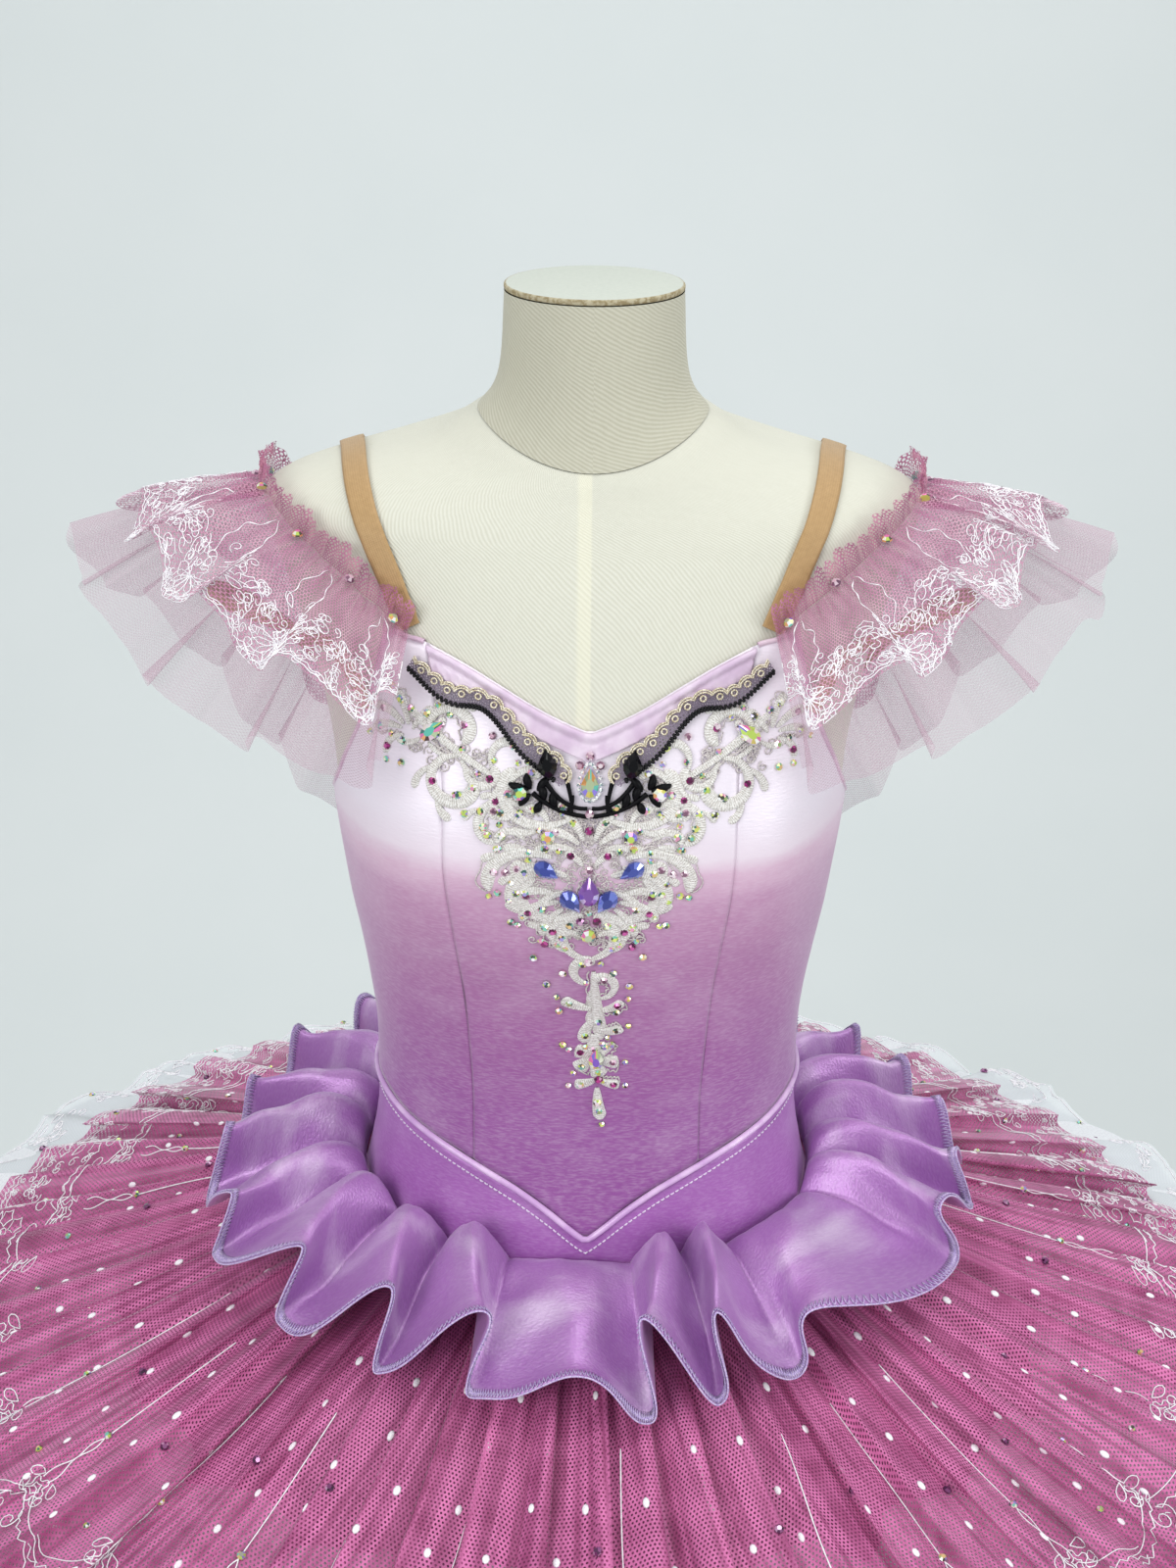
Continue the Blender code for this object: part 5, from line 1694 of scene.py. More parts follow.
@dataclass
class Sleeve:
    """One off-the-shoulder frill: embroidered net with a heading, over plain tulle."""

    surface: FormSurface
    side: int
    waves: int = 8
    scallops: float = 8.0
    per_span: int = 60
    lace_frill: Frill = Frill(27, 0.004, FRILL_PITCH, (0.0040, 0.0080), 3, 0.19)
    tulle_frill: Frill = Frill(20, 0.002, 0.0, (0.0060, 0.0110), 9, 0.0)
    heading_rows: int = 9
    heading_ruches: int = 44
    heading_lean: float = 0.45
    # Above this height the lace's edge hangs lower, by a share of what it rises past it.
    slack_above: float = 1.30
    slack: float = 0.30
    line_wave: float = 0.0004
    gather_height: float = 0.0026
    fine_height: float = 0.0022

    @property
    def name(self) -> str:
        """Which side it is on."""
        return "left" if self.side > 0 else "right"

    def paths(self) -> None:
        """Lays the gathering line on the form and draws the two edges."""
        line = smooth_path(SLEEVE_LINE, self.per_span, self.side)
        self.line = softened(self.surface.seat(line, LINE_OFF)[0], 30)
        self.lace_edge = smooth_path(SLEEVE_LACE, self.per_span, self.side)
        high = np.maximum(self.lace_edge[:, 2] - self.slack_above, 0)
        self.lace_edge[:, 2] -= self.slack * high
        self.tulle_edge = smooth_path(SLEEVE_TULLE, self.per_span, self.side)

    def outward(self, down: Array, ahead: Array) -> Array:
        """The way out of the frill all along its line, without sudden turns."""
        return unit(softened(unit(np.cross(down, ahead)) * self.side, 20))

    def gathered(self, edge: Array, frill: Frill) -> Net:
        """A gathered frill's net between the line and its lower edge."""
        s = np.linspace(0, 1, len(self.line))
        scallop = 1 - frill.trim * np.abs(np.cos(math.pi * self.scallops * s)) ** 1.5
        t = np.linspace(0, 1, frill.rows)[:, None] * scallop[None, :]
        down = edge - self.line
        ahead = np.gradient(self.line, axis=0)
        normal = self.outward(down, ahead)
        phase = TAU * self.waves * s + 0.8 * np.sin(TAU * 2 * s + frill.seed)
        wave = np.sin(phase)[None, :] * np.interp(t, [0, 0.5, 1], [self.line_wave, *frill.deep])
        gathers = ripple(s[None, :] * 40, t * 0.8, frill.seed) * self.gather_height
        gathers = gathers * np.exp(-t / 0.34) * np.minimum(t / 0.05, 1)
        small = ripple(s[None, :] * 11, t * 1.2, frill.seed + 3) * self.fine_height * t
        belly = frill.bulge * np.sin(math.pi * np.clip(t, 0, 1))
        lift = mixed(frill.lift / 2, frill.lift, np.minimum(t / 0.5, 1))
        off = wave + gathers + small + belly + lift
        deepest = frill.deep[1]
        sway = np.cos(phase)[None, :] * np.interp(t, [0, 0.5, 1], [0, 0.004, 0.8 * deepest])
        sway = sway + np.sin(2 * phase)[None, :] * np.interp(t, [0, 1], [0, 0.5 * deepest])
        points = (self.line[None] + down[None] * t[..., None] + normal[None] * off[..., None]
                  + unit(ahead)[None] * sway[..., None])
        return Net(points, towards=normal[None])

    def heading(self) -> Net:
        """The narrow ruched strip that stands up above the gathering line."""
        s = np.linspace(0, 1, len(self.line))
        down = unit(self.lace_edge - self.line)
        ahead = unit(np.gradient(self.line, axis=0))
        normal = self.outward(down, ahead)
        lean = unit(normal - self.heading_lean * down)
        t = np.linspace(0, 1, self.heading_rows)[:, None]
        height = HEADING * (1.0 + 0.10 * ripple(s[None, :] * 40, 0 * t, 21))
        phase = TAU * self.heading_ruches * s + 1.5 * np.sin(TAU * 3 * s)
        wave = np.sin(phase)[None, :] * 0.0018 * t
        fine = ripple(s[None, :] * 16, t, 8) * self.fine_height * t
        points = (self.line[None] + normal[None] * LINE_PITCH + lean[None] * (height * t)[..., None]
                  + down[None] * (wave + fine)[..., None]
                  + ahead[None] * (np.cos(phase)[None, :] * 0.0012 * t)[..., None])
        return Net(points, towards=normal[None])

    def build(self) -> None:
        """The heading, the embroidered frill and the tulle frill."""
        self.paths()
        self.lace = self.gathered(self.lace_edge, self.lace_frill)
        self.tulle = self.gathered(self.tulle_edge, self.tulle_frill)
        self.head = self.heading()
        for part, net, nodes, finish, slot in (
            ("net", self.lace, (f"sleeve_lace_{self.name}",), Finishes.SLEEVE_NET,
             "raspberry_lace"),
            ("heading", self.head, (), Finishes.HEADING_NET, "raspberry_lace"),
            ("veil", self.tulle, (f"sleeve_tulle_{self.name}",), Finishes.TULLE, "pink_tulle"),
        ):
            lay_sheet(f"sleeve_{part}_{self.name}", net, finish, nodes)


# ---------------------------------------------------------------- trimmings
class Stone(Enum):
    """The colours that the facets of each kind of stone are dealt: its own colours, with lighter,
    white and darker facets that are painted reflections.
    """

    AURORA = ("#C2DC66", "#F4F8E0", "#7CCAB4", "#E89CC0", "#A498DA", "#FFFFFF", "#E0E878",
              "#3E6A60", "#E8C488", "#A8C080", "#4A4A3C")
    PRISM = ("#C8E468", "#F4F8E0", "#6CD0BC", "#EE7CB8", "#8C78E0", "#FFFFFF", "#E6EE7A",
             "#3E7C78", "#F0B070", "#B8C8A0", "#5A5A48")
    AMETHYST = ("#5A2352", "#7D3A70", "#3A1236", "#9A5A8C", "#C79ABD")
    ROSE = ("#C9A0B4", "#8A5F78", "#E6CBD8", "#6F4A62", "#F3E2EA")
    MAGENTA = ("#7A0F5A", "#A01C78", "#4E0A3A", "#C850A0", "#5C0E46")
    SAPPHIRE = ("#4A58AE", "#7382D6", "#2E3A8C", "#A4AEEA", "#3E4CA4")
    LILAC = ("#B98AD0", "#8E5CB4", "#D9BCE8", "#7A4AA0", "#F0E0F6")
    CLEAR = ("#FFFFFF", "#FFFFFF", "#8E9CA6", "#F4F8F8")
    BLACK = ("#16161C", "#24242E", "#0A0A0E", "#50505E")

    def tints(self, rng: np.random.Generator, count: int = 14) -> list[Colour]:
        """Facet colours in a random order."""
        codes = self.value
        return [linear(codes[i]) for i in rng.integers(0, len(codes), count)]


def cut_stone(sides: int, crown: float = 0.56, pointed: bool = False) -> Object:
    """A flat-backed cut stone of width, length and height 1.

    Args:
        sides: facets round it.
        crown: width of its top facet.
        pointed: draws its far end out to the point of a teardrop.

    Returns:
        The stone, with its back on the plane z = 0.
    """
    deselect()
    bpy.ops.mesh.primitive_cylinder_add(vertices=sides, radius=0.5, depth=1,
                                        location=(0, 0, 0.5))
    stone = bpy.context.object
    settle(stone, "cut_stone")
    bpy.context.view_layer.objects.active = stone
    bpy.ops.object.mode_set(mode="EDIT")
    bpy.ops.mesh.select_mode(type="FACE")
    bpy.ops.mesh.select_all(action="DESELECT")
    bpy.ops.object.mode_set(mode="OBJECT")
    for face in stone.data.polygons:
        face.select = face.normal.z > 0.9
    bpy.ops.object.mode_set(mode="EDIT")
    bpy.ops.mesh.inset(thickness=0.5 * (1 - crown), depth=0.0)
    bpy.ops.object.mode_set(mode="OBJECT")
    for vertex in stone.data.vertices:
        if math.hypot(*vertex.co[:2]) > 0.45 and vertex.co.z > 0.5:
            vertex.co.z = 0.42
        if pointed:
            reach = max(vertex.co.y, 0.0) * 2
            vertex.co.x *= 1 - 0.82 * reach ** 1.6
            vertex.co.y *= 1 + 0.25 * reach
    return stone


@dataclass(frozen=True)
class Scroll:
    """One satin-stitch leaf: where it starts, which way, how long, how it bends and how wide."""

    x: float  # millimetres to the side of the centre front
    z: float  # millimetres above a height of 1 m
    heading: float  # degrees: 0 outwards, 90 up
    length: float  # millimetres
    bend: float  # degrees turned on the way, to the left if above 0
    width: float  # millimetres
    end: float = 1.7  # 1 bends evenly, more bends most at its tip

    def line(self, count: int = 26) -> tuple[Array, Array]:
        """Points across the front in metres, and half widths that swell to a rounded tip."""
        s = np.linspace(0, 1, count)
        angle = np.radians(self.heading + self.bend * s ** self.end)
        step = self.length * MM / (count - 1)
        run = np.cumsum(np.stack([np.cos(angle), np.sin(angle)], 1) * step, axis=0)
        tip = np.sqrt(np.clip(1 - (np.maximum(s - 0.80, 0) / 0.20) ** 2, 0.04, 1))
        half = self.width * 0.5 * MM * (0.26 + 1.0 * s ** 0.6) * tip
        return run + (self.x * MM, 1 + self.z * MM), half


@dataclass
class Trimmings:
    """Neckline band, binding, corded applique, black lace and stones of the bodice."""

    band_columns: int = 110
    band_roll: float = 1.5 * MM
    band_fold: float = 0.5 * MM
    band_tuck: float = 0.9 * MM
    band_pulls: float = 0.28 * MM
    scallop_pitch: float = 8.5 * MM
    bead_pitch: float = 2.2 * MM
    swag_bow: float = 4.6 * MM
    swag_span: float = 48 * MM
    leaf_rise: float = 1.7 * MM
    frond_rise: float = 1.3 * MM
    frond_from: float = 34  # length of the shortest leaf with fronds, in millimetres
    cording_radius: float = 0.52 * MM
    binding_radius: float = 1.5 * MM
    # Half width and half height of the ring of stones round the jewel.
    ring_wide: float = 0.0062
    ring_high: float = 0.0090
    wing: tuple[Scroll, ...] = (
        Scroll(28, 204, 24, 80, 16, 4.6, 1.0), Scroll(68, 225, 0, 60, -280, 7.6, 1.15),
        Scroll(86, 233, 82, 46, 235, 6.8, 1.2), Scroll(52, 219, 74, 32, 190, 5.8, 1.3),
        Scroll(66, 222, -80, 31, -220, 5.8, 1.2), Scroll(95, 235, 112, 17, 34, 5.4, 0.9),
        Scroll(97, 237, 80, 19, -35, 5.6), Scroll(99, 237, 44, 18, -50, 5.2),
        Scroll(100, 235, 12, 17, -72, 5.0), Scroll(99, 232, -20, 17, -92, 4.8),
        Scroll(43, 211, 116, 21, 130, 5.0), Scroll(46, 212, -46, 26, -170, 5.4),
        Scroll(78, 229, 60, 16, 90, 4.4), Scroll(90, 232, -40, 14, 80, 4.2),
    )
    centre: tuple[Scroll, ...] = (
        Scroll(32, 198, 30, 48, -195, 5.8, 1.4), Scroll(8, 195, -26, 62, 170, 7.4, 1.5),
        Scroll(18, 171, 16, 50, -125, 7.2, 1.6), Scroll(10, 160, 22, 50, -160, 7.6, 1.5),
        Scroll(5, 141, -40, 54, 195, 7.4, 1.4), Scroll(0.5, 107.5, 10, 40, 160, 7.2, 1.1),
        Scroll(3, 181, 78, 16, -40, 5.4, 1.0), Scroll(5, 179, 48, 20, -50, 5.6, 1.0),
        Scroll(7, 176, 18, 22, -40, 5.4, 1.0), Scroll(3, 166, 64, 13, -50, 4.8, 1.0),
        Scroll(22, 190, 76, 17, -120, 5.0), Scroll(12, 192, 96, 12, -90, 4.6),
        Scroll(28, 158, -14, 22, 200, 5.0), Scroll(8, 151, -4, 30, -120, 5.4),
        Scroll(6, 133, 6, 24, -150, 5.2), Scroll(4, 122, 40, 18, -190, 4.8),
        Scroll(34, 181, 44, 20, -150, 5.0), Scroll(40, 204, 2, 20, -150, 4.6),
        Scroll(15, 148, 22, 26, -70, 5.6), Scroll(15, 145, -8, 26, -64, 5.6),
        Scroll(13, 141, -38, 22, -50, 5.4), Scroll(17, 166, 2, 24, -60, 5.2),
    )
    # The stem leans a little from side to side, so its leaves aren't mirrored.
    stem: tuple[Scroll, ...] = (
        Scroll(3, 101, -88, 50, 6, 7.6, 0.8), Scroll(2, 90, 178, 30, -215, 6.2, 1.2),
        Scroll(6, 79, 8, 30, 225, 5.8, 1.2), Scroll(3, 72, 176, 18, -30, 6.8, 1.0),
        Scroll(5, 70, 4, 16, 40, 6.0, 1.0), Scroll(6, 64, -150, 19, 75, 7.2, 1.0),
        Scroll(5, 57, -28, 15, 60, 6.6, 1.0), Scroll(4, 54, -96, 15, 10, 8.4, 0.8),
        *(Scroll(5.0, 35, turn, 13.0, 26, 9.2, 1.0) for turn in (52, 142, 205, 270, 335)),
        Scroll(5.5, 20, -146, 13, -30, 6.8, 1.0), Scroll(6, 20, -34, 13, 30, 6.6, 1.0),
        Scroll(6.0, 15, -92, 23, 14, 6.8, 0.9),
    )
    # Middle, half width and half height of the corded grounds, in the scrolls' terms.
    grounds: tuple[tuple[float, float, float, float], ...] = (
        (16, 181, 30, 13), (16, 153, 26, 13), (10, 127, 20, 12), (46, 211, 18, 6),
        (76, 226, 20, 8), (30, 197, 14, 7))

    # Stones, placed in the scrolls' terms. Teardrops also have a size, a length and a heading.
    teardrops: tuple[tuple[float, float, Stone, float, float, float], ...] = (
        (0, 152.0, Stone.LILAC, 11.5, 1.4, 0), (10, 146.5, Stone.SAPPHIRE, 10.5, 1.3, -142),
        (23.5, 165.0, Stone.SAPPHIRE, 9.5, 1.4, -122), (5, 35.5, Stone.PRISM, 8.6, 1.5, 0),
        (84, 237.0, Stone.PRISM, 9.0, 1.6, -52))
    middle_stones: tuple[tuple[str, float, float], ...] = (
        ("ROSE", 0, 229), ("ROSE", 5.5, 224), ("ROSE", -5.5, 224), ("ROSE", 0, 197.5),
        ("MAGENTA", 0, 188), ("ROSE", 0, 165), ("MAGENTA", 4.5, 133), ("AMETHYST", -4.5, 133),
        ("ROSE", 0, 106), ("MAGENTA", 6.5, 20.5), ("AURORA", 6, 4))
    paired_stones: tuple[tuple[str, float, float], ...] = (
        ("AURORA", 62, 208), ("MAGENTA", 50, 203), ("AURORA", 71, 203), ("MAGENTA", 83, 209),
        ("AURORA", 100, 216), ("AURORA", 96, 247), ("MAGENTA", 67, 242), ("ROSE", 52, 238),
        ("AURORA", 58, 196), ("AURORA", 66, 194), ("AURORA", 54, 183), ("ROSE", 45, 162),
        ("AURORA", 49, 148), ("AURORA", 42, 130), ("MAGENTA", 24, 116), ("AURORA", 30, 108),
        ("AURORA", 14, 98), ("AURORA", 23, 89), ("AURORA", 16, 70), ("AURORA", 14, 45))

    def __post_init__(self) -> None:
        """Starts the sets of stones."""
        self.rng = np.random.default_rng(11)
        self.round = Copies(cut_stone(8))
        self.pointed = Copies(cut_stone(12, 0.5, pointed=True))

    @staticmethod
    def front(x: Array, z: Array, off: Array | float) -> tuple[Array, Array]:
        """Places on the bodice's front and the way out of it there."""
        place = Figure.at_x(x, z, SHELL_OUT + off)
        wide = Figure.at_x(x + MM, z, SHELL_OUT + off)
        high = Figure.at_x(x, z + MM, SHELL_OUT + off)
        return place, unit(np.cross(wide - place, high - place))

    @classmethod
    def on_front(cls, line: Array, side: int, off: float) -> tuple[Array, Array]:
        """A flat line laid on the bodice's front, mirrored to the other side by -1."""
        return cls.front(line[:, 0] * side, line[:, 1], off)

    def build(self) -> None:
        """Everything, from the cloth outwards."""
        self.band()
        self.binding()
        self.applique()
        self.black_lace()
        self.jewel()
        for copies, name, node in ((self.round, "bodice_round_stones", ()),
                                   (self.pointed, "bodice_teardrop_stones", ("centre_jewel",))):
            set_piece(copies.finish(name), Finishes.CRYSTAL, node)

    def band(self) -> None:
        """The satin band that is folded along the heart-shaped neckline and mitred in front."""
        turn = np.linspace(-PRINCESS_FRONT, PRINCESS_FRONT, self.band_columns)[None, :]
        share = np.linspace(0, 1, 18)[:, None]
        z = edge_height(BODICE_TOP, turn) - BAND_DEPTH * (1 - share)
        roll = self.band_roll * np.exp(-(((share - 0.86) / 0.16) ** 2))
        fold = -self.band_fold * np.exp(-(((share - 0.58) / 0.07) ** 2))
        mitre = -self.band_tuck * np.exp(-((turn / 0.012) ** 2))
        pulls = ripple(turn * 30, share * 1.2 + turn * 6, 4) * self.band_pulls
        tuck = -self.band_tuck * np.maximum(share - 0.93, 0) / 0.07
        net = Net(Figure.point(z, turn, SHELL_OUT + BAND_GAP + BAND_WALL + roll + fold + mitre
                               + pulls + tuck), towards=Figure.outward(z, turn))
        lay_sheet("neckline_satin_band", net, Finishes.NECK_SATIN,
                  ("neckline_band",), BAND_WALL)

    def binding(self) -> None:
        """The narrow binding round the armholes and the back."""
        turn = np.linspace(PRINCESS_FRONT + 0.01, TAU - PRINCESS_FRONT - 0.01, 420)
        lay_cord("armhole_binding", self.binding_radius, 8,
                 (edge_height(BODICE_TOP, turn), turn, FORM_CLEARANCE + 1.1 * MM),
                 Finishes.BINDING)

    def applique(self) -> None:
        """Satin-stitch leaves with stones in their hollows, and fine cording between them."""
        parts = (("wing_left", self.wing, (1,)), ("wing_right", self.wing, (-1,)),
                 ("stem", self.centre, (1, -1)), ("stem", self.stem, (1,)))
        sets: dict[str, Ribbons] = {}
        cords = Threads(self.cording_radius, 3)
        kinds = (Stone.AURORA, Stone.AURORA, Stone.ROSE, Stone.AURORA, Stone.MAGENTA)
        for name, scrolls, sides in parts:
            ribbons = sets.setdefault(name, Ribbons())
            for side in sides:
                for number, scroll in enumerate(scrolls):
                    line, half = scroll.line()
                    place = self.on_front(line, side, 0.2 * MM + 0.1 * MM * (number % 4))
                    ribbons.lay(*place, half, self.leaf_rise)
                    self.fronds(ribbons, scroll, line, side)
                    self.cording(cords, line, half, side, number)
                    self.hollow_stone(line, side, kinds[number % len(kinds)])
        for name, ribbons in sets.items():
            set_piece(ribbons.finish(f"applique_{name}_leaves"), Finishes.SATIN_STITCH,
                      (f"applique_{name}",))
        for x, z, wide, high in self.grounds:
            for side in (1, -1):
                self.ground(cords, x * side, z, wide, high)
        set_piece(cords.finish("applique_cording"), Finishes.IVORY_CORD)

    def fronds(self, ribbons: Ribbons, scroll: Scroll, line: Array, side: int) -> None:
        """Small leaves that branch off the outer side of a long one."""
        if scroll.length < self.frond_from:
            return
        turn = -1 if scroll.bend > 0 else 1
        for share, swing in ((0.26, 36), (0.54, 50)):
            at = int(share * (len(line) - 1))
            heading = scroll.heading + scroll.bend * share ** scroll.end + turn * swing
            small = Scroll(line[at, 0] / MM, line[at, 1] / MM - 1 / MM, heading,
                           0.30 * scroll.length * (1.1 - 0.5 * share), -70 * turn,
                           0.62 * scroll.width, 1.2)
            plan, half = small.line(18)
            ribbons.lay(*self.on_front(plan, side, 0.15 * MM), half, self.frond_rise)

    def ground(self, cords: Threads, x: float, z: float, wide: float, high: float) -> None:
        """An oval of close, irregular curls of cord between the leaves."""
        for gz in np.arange(-high, high, 4.0):
            for gx in np.arange(-wide, wide, 4.4):
                px, pz = np.array([gx, gz]) + self.rng.uniform(-1.6, 1.6, 2)
                if (px / wide) ** 2 + (pz / high) ** 2 < 1:
                    way = self.rng.choice((-1, 1))
                    plan = Needlework.curl(x + px, z + pz, self.rng.uniform(0, TAU), 13, way, 10)
                    cords.lay(*self.front(plan[:, 0] * MM, 1 + plan[:, 1] * MM, 0.5 * MM))

    def cording(self, cords: Threads, line: Array, half: Array, side: int, number: int) -> None:
        """A wavy cord along one side of every second leaf."""
        if number % 2:
            return
        ahead = unit(np.gradient(line, axis=0))
        beside = np.stack([-ahead[:, 1], ahead[:, 0]], 1)
        s = np.linspace(0, 1, len(line))
        off = (half + 1.5 * MM + 0.8 * MM * np.sin(s * 30)) * (1 if number % 4 else -1)
        edge = line + beside * off[:, None]
        cords.lay(*self.on_front(edge, side, 0.7 * MM))

    def hollow_stone(self, line: Array, side: int, kind: Stone) -> None:
        """A stone in the hollow that a leaf curls round, and a small one off its tip."""
        hollow = line[12:].mean(0)
        tip = line[-1] + unit(line[-1] - hollow) * 3.4 * MM
        for place, stone, size in ((hollow, kind, 4.6), (tip, Stone.AURORA, 3.7)):
            self.stud(place[0] * side, place[1], stone, size)

    def stud(self, x: float, z: float, kind: Stone, size: float, long: float = 1.0,
             heading: float = 0.0, pointed: bool = False, off: float = 0.6) -> None:
        """Sets one stone on the bodice.

        Args:
            x: to the side of the centre front.
            z: its height.
            kind: its colour.
            size: its width in millimetres.
            long: its length in widths.
            heading: degrees that its point is turned from upright.
            pointed: a teardrop rather than a round stone.
            off: how far its back stands off the cloth, in millimetres.
        """
        angle = math.radians(heading)
        spin = 0.0 if pointed else self.rng.uniform(-0.4, 0.4)
        self.fix(self.pointed if pointed else self.round, x, z, off,
                 (math.sin(angle) + spin, math.cos(angle)), (size, size * long, size * 0.42), kind)

    def fix(self, copies: Copies, x: float, z: float, off: float, along: tuple[float, float],
            size: tuple[float, float, float], kind: Stone) -> None:
        """Fixes a stone or bead to the bodice; off and size are in millimetres."""
        place, normal = self.front(np.array([x]), np.array([z]), off * MM)
        copies.add(place[0], normal[0], np.array([along[0], 0.0, along[1]]), np.array(size) * MM,
                   kind.tints(self.rng))

    def black_lace(self) -> None:
        """Black net with a gold scalloped edge, a bead braid and branching cord at the middle."""
        gold, black = Threads(0.6 * MM, 4), Threads(1.15 * MM, 6)
        beads = Copies(small_ball("bead", 5), smooth=True)
        jets = Copies(cut_stone(12, 0.5, pointed=True))
        off = 2 * BAND_GAP + BAND_WALL
        x = np.linspace(BLACK_SWAG[0, 0], BLACK_SWAG[-1, 0], 220)
        z, width = eased(BLACK_SWAG, x), eased(BLACK_SWAG, x, 2) * 0.85
        z = z + self.swag_bow * np.sin((x - BLACK_SWAG[0, 0]) / self.swag_span * TAU + 2.6)
        along = np.concatenate([[0], np.cumsum(np.hypot(np.diff(x), np.diff(z)))])
        tangent = unit(np.stack([np.gradient(x), np.gradient(z)], 1))
        across = np.stack([-tangent[:, 1], tangent[:, 0]], 1)
        arc = np.abs(np.sin(math.pi * along / self.scallop_pitch)) ** 0.6
        upper = np.stack([x, z], 1) + across * (width * 0.30 + 2.6 * MM * arc)[:, None]
        lower = np.stack([x, z], 1) - across * (width * 0.42)[:, None]
        for name, side in (("left", 1), ("right", -1)):
            rows = [self.on_front(mixed(lower, upper, share), side, off + 0.5 * MM)[0]
                    for share in np.linspace(0, 1, 10)]
            net = Net(np.array(rows), towards=np.array([0.0, -1.0, 0.0]))
            lay_sheet(f"black_lace_ground_{name}", net, Finishes.BLACK_NET,
                      (f"black_lace_{name}",))
            for lift in (0.0, -1.3 * MM):
                gold.lay(*self.on_front(upper + across * lift, side, off + 1.0 * MM))
            ring = np.linspace(0, TAU, 15)
            for at in np.arange(0.5, along[-1] / self.scallop_pitch) * self.scallop_pitch:
                x, z = (np.interp(at, along, upper[:, i]) - np.interp(at, along, across[:, i])
                        * 4.4 * MM for i in (0, 1))
                gold.lay(*self.front((x + 1.5 * MM * np.cos(ring)) * side,
                                     z + 1.5 * MM * np.sin(ring), off + 0.9 * MM))
            for row in (0.0, 1.2 * MM):
                for at in np.arange(0.004, along[-1], self.bead_pitch) + row * 0.6:
                    x, z = (np.interp(at, along, lower[:, i] + across[:, i] * row) for i in (0, 1))
                    self.fix(beads, x * side, z, off / MM + 0.5, (0, 1), (2.3, 2.3, 2.0),
                             Stone.BLACK)
            self.branches(black, side)
            self.fix(jets, 0.0225 * side, 1.2245, 3.0, (0.15 * side, 1), (10.5, 14.0, 5.5),
                     Stone.BLACK)
        for threads, finish, name in ((gold, Finishes.GOLD, "black_lace_gold_edge"),
                                      (black, Finishes.BLACK_CORD, "black_lace_branches")):
            set_piece(threads.finish(name), finish)
        for copies, name in ((beads, "black_lace_beads"), (jets, "black_lace_teardrops")):
            set_piece(copies.finish(name), Finishes.JET)

    def branches(self, cords: Threads, side: int) -> None:
        """Black cords that cradle the centre jewel, with small leaves outside."""
        for scroll in (Scroll(32, 210, -136, 38, -46, 1, 1.0), Scroll(25, 217, -122, 29, -62, 1),
                       Scroll(13, 219, -104, 14, 4, 1), Scroll(9.5, 208, -96, 9, 60, 1),
                       Scroll(28, 209, 118, 10, 30, 2),
                       Scroll(31, 210, 60, 9, 40, 2), Scroll(32, 210, 8, 11, 20, 2),
                       Scroll(31, 208, -38, 9, -30, 2), Scroll(26, 204, -70, 7, 30, 2),
                       Scroll(18, 200, 70, 9, 20, 2), Scroll(24, 204, 84, 9, -30, 2),
                       Scroll(10, 198, 90, 7, 20, 1)):
            line, _ = scroll.line(18)
            s = np.linspace(0, 1, 18)
            thick = 1.3 - 0.3 * s if scroll.width < 2 else 0.5 + 1.7 * np.sin(math.pi * s) ** 0.8
            cords.lay(*self.on_front(line, side, 1.6 * MM), thick)

    def jewel(self) -> None:
        """The teardrop at the centre in its ring of small stones, and the larger set stones."""
        self.stud(0.0, JEWEL_Z, Stone.PRISM, JEWEL_WIDE / MM, JEWEL_LONG / JEWEL_WIDE * 0.82,
                  0, True, 1.4)
        for angle in np.linspace(0, TAU, 20, endpoint=False):
            lift = np.sin(angle) * (1 if np.sin(angle) < 0 else 1.25)
            self.stud(self.ring_wide * np.cos(angle) * (1 - 0.25 * max(np.sin(angle), 0)),
                      JEWEL_Z + self.ring_high * lift, Stone.CLEAR, 2.3, off=1.8)
        for x, z, kind, size, long, heading in self.teardrops:
            for side in ((1, -1) if x and heading else (1,)):
                self.stud(side * x * MM, 1 + z * MM, kind, size, long, side * heading, True, 2.0)
        for x, z, size in ((37, 208, 7.8), (22, 184, 7.6), (0, 124, 8.2)):
            for side in ((1, -1) if x else (1,)):
                self.stud(x * side * MM, 1 + z * MM, Stone.PRISM, size, off=2.0)
        for kind, x, z in self.middle_stones:
            self.stud(x * MM, 1 + z * MM, Stone[kind], 5.0, off=1.8)
        for kind, x, z in self.paired_stones:
            for side in (1, -1):
                self.stud(x * side * MM, 1 + z * MM + self.rng.uniform(-1, 1) * MM, Stone[kind],
                          4.4)


